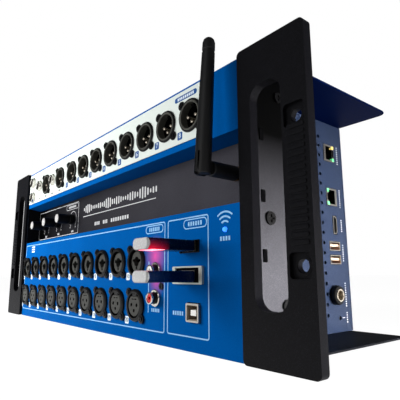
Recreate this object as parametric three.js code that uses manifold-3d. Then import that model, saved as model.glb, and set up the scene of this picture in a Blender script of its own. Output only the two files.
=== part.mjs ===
// A 4U, 19-inch stage-box audio mixer with a built-in wireless access point.
// Millimetres, +Z up, -Y is the front. The origin is the bottom centre of the whole object.

import * as THREE from 'three';
import { mergeVertices } from 'three/addons/utils/BufferGeometryUtils.js';
import Module from 'manifold-3d';

const wasm = await Module();
wasm.setup();

// ---------------------------------------------------------------- driving dimensions
const RACK_WIDTH = 482.6;           // 19-inch panel
const RACK_HEIGHT = 177.8;          // 4U panel
const RACK_HOLE_X = 232.6;          // half of the 465.1 mm hole spacing
const RACK_HOLES_Z = [50.8, 127.0];
const GAP = 0.3;                    // between pieces that touch
const SHEET = 1.5;                  // folded steel

const EAR = { inner: 193, thick: 6, slotX: [202.8, 224.7], slotZ: [28, 151.8], slotRadius: 8,
  corner: 3, pocket: 12.8, pocketDepth: 2.5, holeRadius: 3.8, flange: 2, flangeBack: 44,
  flangeZ: [8, 170] };
const FRONT_Y = 2.7;                // face of the blue front, behind the ears' face at 0
const REAR_Y = 157.3;
const STICK_END_Y = -34.1;          // the foremost point of the object
const CHASSIS_TOP = 176.3;
const CHEEK_X = 192.7;              // side wall beside the front connectors
const SIDE_X = 163.8;               // side wall that carries the side connectors
const STEP_Y = 50;                  // where the side wall steps in
const FLANGE_X = 206.7;             // top and bottom covers overhang the side walls
const FLANGE_CORNER = 6;
const LOWER_TOP = 87.6;             // top edge of the lower front
const RECESS_Y = 17.8;
const RECESS_TOP = 129.4;
const LIP_BOTTOM = 131.8;
const STRIP = { left: -189, right: 163, bottom: 136.5, top: 174.4, front: 2.0, thick: 0.4 };

const PITCH = 28.7;                 // connector pitch in every row
const INPUT_COUNT = 10;
const LAST_INPUT_X = 78.6;
const COMBO_Z = 57.2;
const XLR_INPUT_Z = 24.9;
const AUX_COUNT = 8;
const LAST_AUX_X = 145.6;
const OUTPUT_Z = 154;
const MAIN_OUTPUTS_X = [-130.3, -87.3];
const OUTPUT_JACKS = [[-176.3, 163.3], [-174.8, 144.3], [-152, 155.7], [-109.5, 155.6]];

const SOCKET = { bezel: 11.9, bezelFront: 0.6, body: 10.6, back: 24, panelHole: 11.4,
  cavity: 9.3, cavityBack: 16, insertFront: 2, tabRadius: 3.3, tabOffset: 9.4, tabFront: 1 };
const PINS = { places: [[-4, 0], [4, 0], [0, -4.2]], radius: 1.3, back: 9 };
const JACK = { bore: 3.6, nut: 6.8, front: -1.4, body: 5, back: 26, boreBack: 20, panelHole: 5.8 };
const JACK_BOARD = { x: [-182, -102], z: [138, 171], thick: 1.6 };
const KNOB = { x: [-161.5, -121.5, -81], z: 107.7, face: -2, base: 15.9, radius: 5.65,
  groove: [10.7, 11.4], shaft: 3, shaftFront: 3, bore: 3.3, boreFront: 2.4, shaftHole: 3.8 };
const CONTROL_BOARD = { x: [-174, -68], z: [96, 120], behind: 6, thick: 1.6, pot: [11, 12] };
const ANTENNA = { x: 175.3, z: 109, hingeY: -12, lean: 4, length: 85, baseRadius: 4.75,
  baseBack: 14.6, rodRadius: 5, tipRadius: 4, tongue: 3.8, eye: 4.2, pin: 1.4, pinHole: 1.8,
  fork: 4.6, forkTop: 5.4, hole: 3.9 };
const SMA = { thread: 3, threadFront: 6, nut: 4.9, nutY: [14.9, 16.2], stem: 3.4, back: 24 };
const MEDIA = { x: 143, z: [46.7, 64.9], frame: [30.6, 11.3], frameFront: 1, window: [25, 8.6],
  mouth: [23, 9.4], mouthBack: 2, back: 18, board: { width: 32, margin: 8, thick: 1.4 } };
const STICK = { z: [45.9, 65.2], width: 17.3, height: 7.2, corner: 1.2, back: 1.7,
  plug: [12, 4.5], plugBack: 13.6 };
const RCA = { x: 105.5, z: [31.1, 50.1], front: -3.2, radius: 4.2, washer: 6, washerFront: 1,
  bore: 1.7, boreBack: 8, back: 12, block: { width: 11, height: 34, y: [8.5, 16] } };
const USB_B = { x: 148.3, z: 23.7, width: 12.6, height: 11.4, front: 1, back: 17,
  hollow: [9.2, 8.2], hollowBack: 12, tongue: [5.6, 3.4], tongueFront: 3 };
const LED = { x: 177.8, z: 73.1, radius: 1.5, front: 1.2, back: 8 };
const SIDE_PORTS = {
  ethernet: [[137.2, 148.2], [137.6, 110.3]], hdmi: [140, 87], usb: [[138, 69.5], [138, 58.6]],
  pedal: [134.5, 30.6], reset: [139.5, 12.6],
};
const NETWORK = { shell: [14.3, 14.4], hollow: [11.4, 8.4, 13] };
const HDMI = { shell: [5.8, 15.2], hollow: [4.6, 13.8, 10], tongue: [1.6, 11.6] };
const SIDE_USB = { shell: [14.6, 7.2], hollow: [13, 5.6, 11], tongue: [11, 1.8] };
const PEDAL = { body: 5.2, nut: 7.6, proud: 5, boreDepth: 14 };
const RESET = { stem: 1.2, head: 2.4, inset: 0.5, headInset: 3.5, depth: 8 };
const SIDE_BOARD = { depth: 20, thick: 1.6, y: [120, 150], z: [20, 160] };
const INLET = { y: 118, width: 34, z: [16, 82], stand: 2.2, body: { half: 14, z: [20, 78], depth: 24 },
  mouth: { half: 12, z: [22, 38.5], depth: 17 }, well: { half: 11, z: [54, 70], depth: 14 },
  blades: [[-7, 28.5], [7, 28.5], [0, 32.5]] };
const ROCKER = { z: 62, depth: 6, proud: 1.2, half: [10, 7], axle: 3, tilt: 8 };
const INPUT_BOARD = { x: [-158, 158], y: [30, 31.6], z: [6, 84] };
const SUPPLY = { x: [-130, -42], y: [62, 142], top: 48, fins: [-120, -100, -80, -60], finWidth: 8,
  finRise: 2, finZ: [6, 44] };

const ROUND = 10;                   // sides of a round connector
const FINE = 16;                    // sides of a knob or an antenna

// ---------------------------------------------------------------- materials
const paint = (color, roughness = 0.5, metalness = 0) =>
  new THREE.MeshStandardMaterial({ color, roughness, metalness });
const BLUE = paint(0x0b63b5, 0.45, 0.2);
const SIDE_BLUE = paint(0x4c5c8e, 0.5, 0.2);
const BLACK = paint(0x1d1d20, 0.55);
const GREY = paint(0x3b3c40, 0.6);
const WHITE = paint(0xdfe6dc, 0.5);
const STEEL = paint(0xb9bcc0, 0.3, 0.9);
const GOLD = paint(0xd0a548, 0.3, 0.9);
const NAVY = paint(0x0a1030, 0.3);
const RED = paint(0xc81418, 0.4);
const BOARD = paint(0x1c5a34, 0.6);
const LENS = paint(0x3a7dff, 0.2);

// ---------------------------------------------------------------- shaping
/** A closed geometry as a solid that can be cut and joined. */
function solid(geometry) {
  const bare = geometry.clone();
  bare.deleteAttribute('normal');
  bare.deleteAttribute('uv');
  const merged = mergeVertices(bare, 1e-4);
  const index = merged.index.array;
  const triVerts = [];
  for (let i = 0; i < index.length; i += 3) {
    const [a, b, c] = [index[i], index[i + 1], index[i + 2]];
    if (a !== b && b !== c && c !== a) triVerts.push(a, b, c);
  }
  return new wasm.Manifold(new wasm.Mesh({
    numProp: 3,
    vertProperties: new Float32Array(merged.attributes.position.array),
    triVerts: new Uint32Array(triVerts),
  }));
}

function geometryOf(manifold) {
  const mesh = manifold.getMesh();
  const geometry = new THREE.BufferGeometry();
  geometry.setAttribute('position', new THREE.BufferAttribute(new Float32Array(mesh.vertProperties), 3));
  geometry.setIndex(new THREE.BufferAttribute(new Uint32Array(mesh.triVerts), 1));
  geometry.computeVertexNormals();
  return geometry;
}

const join = (...pieces) => pieces.reduce((whole, piece) => whole.add(piece));
const cut = (body, ...tools) => tools.reduce((rest, tool) => rest.subtract(tool), body);

/** A box from its lowest and highest corners. */
function block(x, y, z) {
  const box = new THREE.BoxGeometry(x[1] - x[0], y[1] - y[0], z[1] - z[0]);
  return solid(box.translate((x[0] + x[1]) / 2, (y[0] + y[1]) / 2, (z[0] + z[1]) / 2));
}

/** A box given by its middle and its full width and height, seen from the front. */
const frontBlock = (x, z, width, height, y) =>
  block([x - width / 2, x + width / 2], y, [z - height / 2, z + height / 2]);

/** A solid of revolution about a line along Y; the profile is [radius, y] pairs. */
function turned(profile, x, z, sides = ROUND) {
  const points = profile.map(([radius, y]) => new THREE.Vector2(radius, y));
  return solid(new THREE.LatheGeometry(points, sides).translate(x, 0, z));
}

const rod = (radius, y, x, z, sides = ROUND) =>
  turned([[0, y[0]], [radius, y[0]], [radius, y[1]], [0, y[1]]], x, z, sides);

/** A cylinder along X. */
function crossRod(radius, x, y, z, sides = ROUND) {
  const cylinder = new THREE.CylinderGeometry(radius, radius, x[1] - x[0], sides);
  return solid(cylinder.rotateZ(Math.PI / 2).translate((x[0] + x[1]) / 2, y, z));
}

/** A flat outline of [x, y] pairs as a plate between two heights. */
function slab(outline, z) {
  const shape = new THREE.Shape(outline.map(([x, y]) => new THREE.Vector2(x, y)));
  const depth = z[1] - z[0];
  return solid(new THREE.ExtrudeGeometry(shape, { depth, bevelEnabled: false }).translate(0, 0, z[0]));
}

/** An outline of [y, z] pairs drawn out along X. */
function extrusion(outline, x) {
  const shape = new THREE.Shape(outline.map(([y, z]) => new THREE.Vector2(y, z)));
  const geometry = new THREE.ExtrudeGeometry(shape, { depth: x[1] - x[0], bevelEnabled: false });
  geometry.rotateY(Math.PI / 2).rotateX(Math.PI / 2);
  return solid(geometry.translate(x[0], 0, 0));
}

/** A rounded rectangle as a plate facing the front. */
function roundedPlate(x, z, radius, y, steps = 4) {
  const shape = new THREE.Shape();
  shape.moveTo(x[0] + radius, z[0]);
  shape.absarc(x[1] - radius, z[0] + radius, radius, -Math.PI / 2, 0);
  shape.absarc(x[1] - radius, z[1] - radius, radius, 0, Math.PI / 2);
  shape.absarc(x[0] + radius, z[1] - radius, radius, Math.PI / 2, Math.PI);
  shape.absarc(x[0] + radius, z[0] + radius, radius, Math.PI, Math.PI * 1.5);
  const depth = y[1] - y[0];
  const options = { depth, bevelEnabled: false, curveSegments: steps };
  return solid(new THREE.ExtrudeGeometry(shape, options).rotateX(Math.PI / 2).translate(0, y[1], 0));
}

const mirrored = (manifold) => manifold.mirror([1, 0, 0]);

/** A range drawn about a middle. */
const span = (middle, size) => [middle - size / 2, middle + size / 2];

const object = new THREE.Group();
object.position.y = -(STICK_END_Y + REAR_Y) / 2;

function add(name, manifold, material) {
  const mesh = new THREE.Mesh(geometryOf(manifold), material);
  mesh.name = name;
  object.add(mesh);
}

// ---------------------------------------------------------------- places of repeated pieces
const inputsX = Array.from({ length: INPUT_COUNT }, (_, i) => LAST_INPUT_X - (INPUT_COUNT - 1 - i) * PITCH);
const auxX = Array.from({ length: AUX_COUNT }, (_, i) => LAST_AUX_X - (AUX_COUNT - 1 - i) * PITCH);
const outputsX = [...MAIN_OUTPUTS_X, ...auxX];

// ---------------------------------------------------------------- chassis
function frontPanel() {
  const back = FRONT_Y + SHEET;
  const outline = [
    [FRONT_Y, 0], [back, 0], [back, LOWER_TOP - SHEET], [RECESS_Y + SHEET, LOWER_TOP - SHEET],
    [RECESS_Y + SHEET, RECESS_TOP + SHEET], [back, LIP_BOTTOM + SHEET], [back, CHASSIS_TOP - SHEET],
    [EAR.thick + 0.2, CHASSIS_TOP - SHEET], [EAR.thick + 0.2, CHASSIS_TOP], [FRONT_Y, CHASSIS_TOP],
    [FRONT_Y, LIP_BOTTOM], [RECESS_Y, RECESS_TOP], [RECESS_Y, LOWER_TOP], [FRONT_Y, LOWER_TOP],
  ];
  const halfWidth = CHEEK_X - SHEET - GAP;
  const y = [FRONT_Y - 1, back + 1];
  const holes = [
    ...outputsX.map((x) => rod(SOCKET.panelHole, y, x, OUTPUT_Z)),
    ...inputsX.map((x) => rod(SOCKET.panelHole, y, x, COMBO_Z)),
    ...inputsX.map((x) => rod(SOCKET.panelHole, y, x, XLR_INPUT_Z)),
    ...OUTPUT_JACKS.map(([x, z]) => rod(JACK.panelHole, y, x, z)),
    ...RCA.z.map((z) => rod(RCA.radius + 0.8, y, RCA.x, z)),
    ...MEDIA.z.map((z) => frontBlock(MEDIA.x, z, MEDIA.window[0] + 1, MEDIA.window[1] + 1, y)),
    frontBlock(USB_B.x, USB_B.z, USB_B.width + 0.8, USB_B.height + 0.8, y),
    rod(LED.radius + 0.4, y, LED.x, LED.z, 8),
    ...fasciaHoles([RECESS_Y - 1, RECESS_Y + SHEET + 1]),
  ];
  add('front_panel', cut(extrusion(outline, [-halfWidth, halfWidth]), ...holes), BLUE);
}

function fasciaHoles(y) {
  const shafts = KNOB.x.map((x) => rod(KNOB.shaftHole, y, x, KNOB.z));
  return [...shafts, rod(ANTENNA.hole, y, ANTENNA.x, ANTENNA.z)];
}

function recessFascia() {
  const y = [RECESS_Y - GAP - 1, RECESS_Y - GAP];
  const halfWidth = CHEEK_X - SHEET - 2 * GAP;
  const plate = block([-halfWidth, halfWidth], y, [LOWER_TOP + GAP, RECESS_TOP - GAP]);
  add('recess_fascia', cut(plate, ...fasciaHoles([y[0] - 1, y[1] + 1])), GREY);
}

function labelStrip() {
  const y = [STRIP.front, STRIP.front + STRIP.thick];
  const through = [y[0] - 1, y[1] + 1];
  const plate = block([STRIP.left, STRIP.right], y, [STRIP.bottom, STRIP.top]);
  const holes = [
    ...outputsX.map((x) => rod(SOCKET.panelHole, through, x, OUTPUT_Z)),
    ...OUTPUT_JACKS.map(([x, z]) => rod(JACK.panelHole, through, x, z)),
  ];
  add('label_strip', cut(plate, ...holes), WHITE);
}

const BEHIND_EAR = EAR.thick + 0.5;

/** A cover with overhanging flanges behind the ears and rounded rear corners. */
function coverOutline() {
  const corner = (x, from) => [0, 1, 2, 3].map((step) => {
    const angle = from + (step * Math.PI) / 6;
    return [x + FLANGE_CORNER * Math.cos(angle), REAR_Y - FLANGE_CORNER + FLANGE_CORNER * Math.sin(angle)];
  });
  return [
    [-FLANGE_X, BEHIND_EAR], [FLANGE_X, BEHIND_EAR],
    ...corner(FLANGE_X - FLANGE_CORNER, 0), ...corner(-FLANGE_X + FLANGE_CORNER, Math.PI / 2),
  ];
}

function covers() {
  add('top_cover', slab(coverOutline(), [CHASSIS_TOP - SHEET, CHASSIS_TOP]), BLUE);
  const tongue = block([-CHEEK_X, CHEEK_X], [FRONT_Y + SHEET + GAP, BEHIND_EAR + 1], [0, SHEET]);
  add('bottom_cover', join(slab(coverOutline(), [0, SHEET]), tongue), BLUE);
}

/** The folded side sheet: a cheek beside the front, a step, and the connector wall. */
function sideSheet() {
  const inner = SIDE_X - SHEET;
  const outline = [
    [CHEEK_X - SHEET, FRONT_Y], [CHEEK_X, FRONT_Y], [CHEEK_X, STEP_Y], [SIDE_X, STEP_Y],
    [SIDE_X, REAR_Y - SHEET - GAP], [inner, REAR_Y - SHEET - GAP], [inner, STEP_Y - SHEET],
    [CHEEK_X - SHEET, STEP_Y - SHEET],
  ];
  return slab(outline, [SHEET + GAP, CHASSIS_TOP - SHEET - GAP]);
}

function sidePanels() {
  const x = [SIDE_X - SHEET - 1, SIDE_X + 1];
  const window = ([y, z], width, height) => block(x, span(y, width), span(z, height));
  const ports = [
    ...SIDE_PORTS.ethernet.map((place) => window(place, 15, 15)),
    window(SIDE_PORTS.hdmi, 6.4, 16),
    ...SIDE_PORTS.usb.map((place) => window(place, 15.4, 8)),
    crossRod(5.6, x, ...SIDE_PORTS.pedal),
    crossRod(1.6, x, ...SIDE_PORTS.reset, 8),
  ];
  add('side_panel_right', cut(sideSheet(), ...ports), SIDE_BLUE);
  const inletWindow = block([-SIDE_X - 1, -SIDE_X + SHEET + 1],
    span(INLET.y, 2 * INLET.body.half + 1), [INLET.body.z[0] - 0.5, INLET.body.z[1] + 0.5]);
  add('side_panel_left', cut(mirrored(sideSheet()), inletWindow), SIDE_BLUE);
}

function rearPanel() {
  const z = [SHEET + GAP, CHASSIS_TOP - SHEET - GAP];
  add('rear_panel', block([-SIDE_X, SIDE_X], [REAR_Y - SHEET, REAR_Y], z), SIDE_BLUE);
}

function rackEars() {
  const outer = RACK_WIDTH / 2;
  const plate = roundedPlate([EAR.inner, outer], [0, RACK_HEIGHT], EAR.corner, [0, EAR.thick], 3);
  const flange = block([EAR.inner, EAR.inner + EAR.flange], [EAR.thick - 0.5, EAR.flangeBack], EAR.flangeZ);
  const slot = roundedPlate(EAR.slotX, EAR.slotZ, EAR.slotRadius, [-1, EAR.thick + 1]);
  const pockets = RACK_HOLES_Z.map((z) =>
    roundedPlate(span(RACK_HOLE_X, EAR.pocket), span(z, EAR.pocket), 2, [-1, EAR.pocketDepth], 2));
  const bolts = RACK_HOLES_Z.map((z) => rod(EAR.holeRadius, [0, EAR.thick + 1], RACK_HOLE_X, z, 16));
  const ear = cut(join(plate, flange), slot, ...pockets, ...bolts);
  add('rack_ear_right', ear, BLACK);
  add('rack_ear_left', mirrored(ear), BLACK);
}

// ---------------------------------------------------------------- round panel sockets
/** The two screw tabs of a socket, up left and down right. */
function socketTabs(x, z, y) {
  const { tabRadius, tabOffset } = SOCKET;
  return [-1, 1].map((side) => rod(tabRadius, y, x + side * tabOffset, z - side * tabOffset, 6));
}

/** A round socket with its bezel against a face and its barrel behind it. */
function socket(x, z, cavityBack, faceY) {
  const bezelBack = faceY - GAP;
  const shell = turned([
    [0, cavityBack], [SOCKET.cavity, cavityBack], [SOCKET.cavity, SOCKET.bezelFront],
    [SOCKET.bezel, SOCKET.bezelFront], [SOCKET.bezel, bezelBack], [SOCKET.body, bezelBack],
    [SOCKET.body, SOCKET.back], [0, SOCKET.back],
  ], x, z);
  return join(shell, ...socketTabs(x, z, [SOCKET.tabFront, bezelBack]));
}

function sockets() {
  outputsX.forEach((x, i) => {
    add(`output_xlr_${i + 1}`, socket(x, OUTPUT_Z, SOCKET.cavityBack, STRIP.front), BLACK);
  });
  inputsX.forEach((x, i) => {
    const face = socket(x, COMBO_Z, SOCKET.insertFront, FRONT_Y);
    const plug = rod(JACK.bore, [0, JACK.boreBack], x, COMBO_Z, 12);
    add(`combo_input_${i + 1}`, cut(face, plug), BLACK);
  });
  inputsX.forEach((x, i) => {
    const face = socket(x, XLR_INPUT_Z, SOCKET.insertFront, FRONT_Y);
    const pins = PINS.places.map(([dx, dz]) => rod(PINS.radius, [1, PINS.back], x + dx, XLR_INPUT_Z + dz, 6));
    add(`xlr_input_${i + 1}`, cut(face, ...pins), BLACK);
  });
}

// ---------------------------------------------------------------- small panel connectors
/** Four quarter-inch jacks on one board behind the upper front. */
function outputJackModule() {
  const nutBack = STRIP.front - GAP;
  const jacks = OUTPUT_JACKS.map(([x, z]) => turned([
    [0, JACK.boreBack], [JACK.bore, JACK.boreBack], [JACK.bore, JACK.front], [JACK.nut, JACK.front],
    [JACK.nut, nutBack], [JACK.body, nutBack], [JACK.body, JACK.back], [0, JACK.back],
  ], x, z, 12));
  const boardFront = JACK.back - 0.2;
  const board = block(JACK_BOARD.x, [boardFront, boardFront + JACK_BOARD.thick], JACK_BOARD.z);
  add('output_jack_module', join(board, ...jacks), GREY);
}

function rcaModule() {
  const jacks = RCA.z.map((z) => turned([
    [0, RCA.boreBack], [RCA.bore, RCA.boreBack], [RCA.bore, RCA.front], [RCA.radius, RCA.front],
    [RCA.radius, RCA.washerFront], [RCA.washer, RCA.washerFront], [RCA.washer, FRONT_Y - GAP],
    [RCA.radius, FRONT_Y - GAP], [RCA.radius, RCA.back], [0, RCA.back],
  ], RCA.x, z));
  const { width, height, y } = RCA.block;
  const body = frontBlock(RCA.x, (RCA.z[0] + RCA.z[1]) / 2, width, height, y);
  add('rca_module', join(body, ...jacks), RED);
}

function mediaSockets() {
  const bezelBack = FRONT_Y - GAP;
  const housings = MEDIA.z.map((z) => {
    const frame = frontBlock(MEDIA.x, z, ...MEDIA.frame, [MEDIA.frameFront, bezelBack]);
    const body = frontBlock(MEDIA.x, z, ...MEDIA.window, [bezelBack - 0.2, MEDIA.back]);
    const mouth = frontBlock(MEDIA.x, z, ...MEDIA.mouth, [0, MEDIA.mouthBack]);
    const [plugWidth, plugHeight] = STICK.plug.map((size) => size + 2 * GAP);
    const hollow = frontBlock(MEDIA.x, z, plugWidth, plugHeight, [0, STICK.plugBack + 1.4]);
    return cut(join(frame, body), mouth, hollow);
  });
  const { width, margin, thick } = MEDIA.board;
  const board = block(span(MEDIA.x, width), [MEDIA.back - 0.2, MEDIA.back + thick],
    [MEDIA.z[0] - margin, MEDIA.z[1] + margin]);
  add('usb_media_sockets', join(board, ...housings), STEEL);
}

function usbBSocket() {
  const body = frontBlock(USB_B.x, USB_B.z, USB_B.width, USB_B.height, [USB_B.front, USB_B.back]);
  const hollow = frontBlock(USB_B.x, USB_B.z, ...USB_B.hollow, [0, USB_B.hollowBack]);
  const tongue = frontBlock(USB_B.x, USB_B.z, ...USB_B.tongue, [USB_B.tongueFront, USB_B.hollowBack + 1]);
  add('usb_b_socket', join(cut(body, hollow), tongue), STEEL);
}

function statusLed() {
  const profile = [
    [0, LED.front], [0.6 * LED.radius, LED.front + 0.3], [LED.radius, LED.front + 1],
    [LED.radius, LED.back], [0, LED.back],
  ];
  add('status_led', turned(profile, LED.x, LED.z, 10), LENS);
}

// ---------------------------------------------------------------- controls in the recess
function controls() {
  KNOB.x.forEach((x, i) => {
    const [grooveFront, grooveBack] = KNOB.groove;
    const profile = [
      [0, KNOB.face], [KNOB.radius - 1.1, KNOB.face], [KNOB.radius - 0.7, KNOB.face + 0.5],
      [KNOB.radius - 0.3, grooveFront - 0.2], [KNOB.radius - 1, grooveFront],
      [KNOB.radius - 1, grooveBack], [KNOB.radius, grooveBack + 0.2], [KNOB.radius, KNOB.base],
      [KNOB.bore, KNOB.base], [KNOB.bore, KNOB.boreFront], [0, KNOB.boreFront],
    ];
    add(`level_knob_${i + 1}`, turned(profile, x, KNOB.z, FINE), BLACK);
  });
  const potFront = RECESS_Y + SHEET + GAP;
  const boardFront = RECESS_Y + SHEET + CONTROL_BOARD.behind;
  const board = block(CONTROL_BOARD.x, [boardFront, boardFront + CONTROL_BOARD.thick], CONTROL_BOARD.z);
  const pots = KNOB.x.flatMap((x) => [
    frontBlock(x, KNOB.z, ...CONTROL_BOARD.pot, [potFront, boardFront + 0.2]),
    rod(KNOB.shaft, [KNOB.shaftFront, potFront + 1], x, KNOB.z, 12),
  ]);
  add('control_board', join(board, ...pots), BOARD);
}

// ---------------------------------------------------------------- antenna
function antenna() {
  const { x, z, hingeY } = ANTENNA;
  const [nutFront, nutBack] = SMA.nutY;
  const jack = turned([
    [0, SMA.threadFront], [SMA.thread, SMA.threadFront], [SMA.thread, nutFront], [SMA.nut, nutFront],
    [SMA.nut, nutBack], [SMA.stem, nutBack], [SMA.stem, SMA.back], [0, SMA.back],
  ], x, z, 12);
  add('sma_jack', jack, GOLD);

  const { baseRadius, baseBack, tongue, eye, pin, pinHole } = ANTENNA;
  const collarFront = hingeY + 5.8;
  const threadHole = SMA.thread + GAP;
  const boreFront = SMA.threadFront - 1.4;
  const collar = turned([
    [0, collarFront], [baseRadius - 0.65, collarFront], [baseRadius, collarFront + 0.7],
    [baseRadius, baseBack - 0.8], [baseRadius - 0.55, baseBack], [threadHole, baseBack],
    [threadHole, boreFront], [0, boreFront],
  ], x, z, FINE);
  const ring = crossRod(eye, span(x, tongue), hingeY, z, FINE);
  const neck = block(span(x, tongue), [hingeY, collarFront + 1], span(z, 6.8));
  const hinge = crossRod(pinHole, span(x, 10), hingeY, z, 12);
  add('antenna_base', cut(join(collar, ring, neck), hinge), BLACK);

  const { rodRadius, tipRadius, length, fork, forkTop } = ANTENNA;
  const profile = [
    [0, 0], [rodRadius, 0], [rodRadius, 12], [tipRadius, length - 10.5], [tipRadius - 0.5, length - 10.2],
    [tipRadius - 0.5, length - 8.6], [tipRadius, length - 8.3], [tipRadius - 0.2, length - 2.2],
    [tipRadius - 1.4, length - 0.5], [0, length],
  ].map(([radius, height]) => new THREE.Vector2(radius, height));
  const blade = solid(new THREE.LatheGeometry(profile, FINE).rotateX(Math.PI / 2));
  const heel = crossRod(rodRadius, span(0, 2 * rodRadius - 1.2), 0, 0, FINE);
  const forkGap = block(span(0, fork), [-9, 9], [-9, forkTop]);
  const whip = join(cut(join(blade, heel), forkGap), crossRod(pin, span(0, 8), 0, 0, 12));
  add('antenna_rod', whip.rotate([-ANTENNA.lean, 0, 0]).translate([x, hingeY, z]), BLACK);
}

// ---------------------------------------------------------------- memory sticks
function memorySticks() {
  const names = ['usb_drive_lower', 'usb_drive_upper'];
  STICK.z.forEach((z, i) => {
    const y = [STICK_END_Y, STICK.back];
    const body = roundedPlate(span(MEDIA.x, STICK.width), span(z, STICK.height), STICK.corner, y, 2);
    const plug = frontBlock(MEDIA.x, MEDIA.z[i], ...STICK.plug, [STICK.back - 0.5, STICK.plugBack]);
    add(names[i], join(body, plug), NAVY);
  });
}

// ---------------------------------------------------------------- side connectors
/** The network, video, USB and pedal connectors on one board behind the right side wall. */
function sidePortModule() {
  const face = SIDE_X + 0.4;
  const boardX = [SIDE_X - SIDE_BOARD.depth, SIDE_X - SIDE_BOARD.depth + SIDE_BOARD.thick];
  const board = block(boardX, SIDE_BOARD.y, SIDE_BOARD.z);
  const shell = ([y, z], width, height) =>
    block([boardX[1] - 0.2, face], span(y, width), span(z, height));
  const hollow = ([y, z], width, height, depth) =>
    block([face - depth, face + 1], span(y, width), span(z, height));
  const tongue = ([y, z], width, height) =>
    block([boardX[1], face - 1.2], span(y, width), span(z, height));
  const network = SIDE_PORTS.ethernet.map((place) =>
    cut(shell(place, ...NETWORK.shell), hollow(place, ...NETWORK.hollow)));
  const video = join(cut(shell(SIDE_PORTS.hdmi, ...HDMI.shell), hollow(SIDE_PORTS.hdmi, ...HDMI.hollow)),
    tongue(SIDE_PORTS.hdmi, ...HDMI.tongue));
  const usb = SIDE_PORTS.usb.map((place) => join(
    cut(shell(place, ...SIDE_USB.shell), hollow(place, ...SIDE_USB.hollow)),
    tongue(place, ...SIDE_USB.tongue),
  ));
  const body = crossRod(PEDAL.body, [boardX[1] - 0.2, SIDE_X + 1], ...SIDE_PORTS.pedal);
  const nut = crossRod(PEDAL.nut, [SIDE_X + GAP, SIDE_X + PEDAL.proud], ...SIDE_PORTS.pedal, 12);
  const boreX = [SIDE_X - PEDAL.boreDepth, SIDE_X + PEDAL.proud + 1];
  const bore = crossRod(JACK.bore, boreX, ...SIDE_PORTS.pedal, 12);
  add('side_port_module', join(board, ...network, video, ...usb, cut(join(body, nut), bore)), STEEL);

  const stem = crossRod(RESET.stem, [SIDE_X - RESET.depth, SIDE_X - RESET.inset], ...SIDE_PORTS.reset, 8);
  const head = crossRod(RESET.head, [SIDE_X - RESET.depth, SIDE_X - RESET.headInset], ...SIDE_PORTS.reset, 8);
  add('reset_button', join(stem, head), BLACK);
}

// ---------------------------------------------------------------- mains inlet with its switch
function powerEntry() {
  const { y, width, z, stand, body, mouth, well } = INLET;
  const face = -SIDE_X - stand;
  const flange = block([face, -SIDE_X - GAP], span(y, width), z);
  const housing = block([-SIDE_X - 0.5, -SIDE_X + body.depth], span(y, 2 * body.half), body.z);
  const hollows = [mouth, well].map((hollow) =>
    block([face - 1, face + hollow.depth], span(y, 2 * hollow.half), hollow.z));
  const blades = INLET.blades.map(([dy, bladeZ]) =>
    block([face + 2, face + mouth.depth + 1], span(y + dy, 2), span(bladeZ, 4)));
  add('power_inlet', join(cut(join(flange, housing), ...hollows), ...blades), BLACK);

  const [halfY, halfZ] = ROCKER.half;
  const cap = block([-ROCKER.proud, ROCKER.depth], span(0, 2 * halfY), span(0, 2 * halfZ));
  const axle = rod(ROCKER.axle, span(0, 2 * halfY), ROCKER.depth / 2, 0);
  const rocker = join(cap, axle).rotate([0, ROCKER.tilt, 0]);
  add('power_rocker', rocker.translate([face + 1.4, y, ROCKER.z]), BLACK);
}

// ---------------------------------------------------------------- inside
function insides() {
  add('input_board', block(INPUT_BOARD.x, INPUT_BOARD.y, INPUT_BOARD.z), BOARD);
  const can = block(SUPPLY.x, SUPPLY.y, [SHEET + GAP, SUPPLY.top]);
  const finY = [SUPPLY.y[0] - SUPPLY.finRise, SUPPLY.y[1] + SUPPLY.finRise];
  const fins = SUPPLY.fins.map((x) => block([x, x + SUPPLY.finWidth], finY, SUPPLY.finZ));
  add('power_supply', join(can, ...fins), STEEL);
}

frontPanel();
recessFascia();
labelStrip();
covers();
sidePanels();
rearPanel();
rackEars();
sockets();
outputJackModule();
rcaModule();
mediaSockets();
usbBSocket();
statusLed();
controls();
antenna();
memorySticks();
sidePortModule();
powerEntry();
insides();

export default object;
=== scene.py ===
import math

import bmesh
import bpy
from mathutils import Matrix, Vector
from mathutils.geometry import tessellate_polygon


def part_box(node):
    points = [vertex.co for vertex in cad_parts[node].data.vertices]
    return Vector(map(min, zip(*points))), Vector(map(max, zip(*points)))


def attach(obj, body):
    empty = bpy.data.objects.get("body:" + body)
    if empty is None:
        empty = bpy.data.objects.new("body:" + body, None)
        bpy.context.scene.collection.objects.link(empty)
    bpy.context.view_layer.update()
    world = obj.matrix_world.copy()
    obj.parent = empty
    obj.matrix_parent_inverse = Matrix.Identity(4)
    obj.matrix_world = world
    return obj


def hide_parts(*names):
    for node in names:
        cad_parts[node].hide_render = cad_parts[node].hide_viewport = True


# The looks of a 4U stage-box mixer with a wireless access point.
# Shapes are in millimetres: x to the right, z up, and y backward from the front face of the rack ears.

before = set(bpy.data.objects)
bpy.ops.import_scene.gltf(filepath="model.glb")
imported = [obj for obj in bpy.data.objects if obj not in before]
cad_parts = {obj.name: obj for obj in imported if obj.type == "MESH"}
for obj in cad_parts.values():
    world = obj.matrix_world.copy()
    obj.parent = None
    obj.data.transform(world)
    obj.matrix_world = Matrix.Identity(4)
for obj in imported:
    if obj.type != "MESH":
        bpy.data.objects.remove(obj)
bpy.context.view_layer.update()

MM = 0.001
EAR_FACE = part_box("rack_ear_right")[0].y
TO_WORLD = Matrix.Translation((0, EAR_FACE, 0)) @ Matrix.Scale(MM, 4)
SHARP = math.radians(32)
ROUND_SIDES = 48

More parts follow.
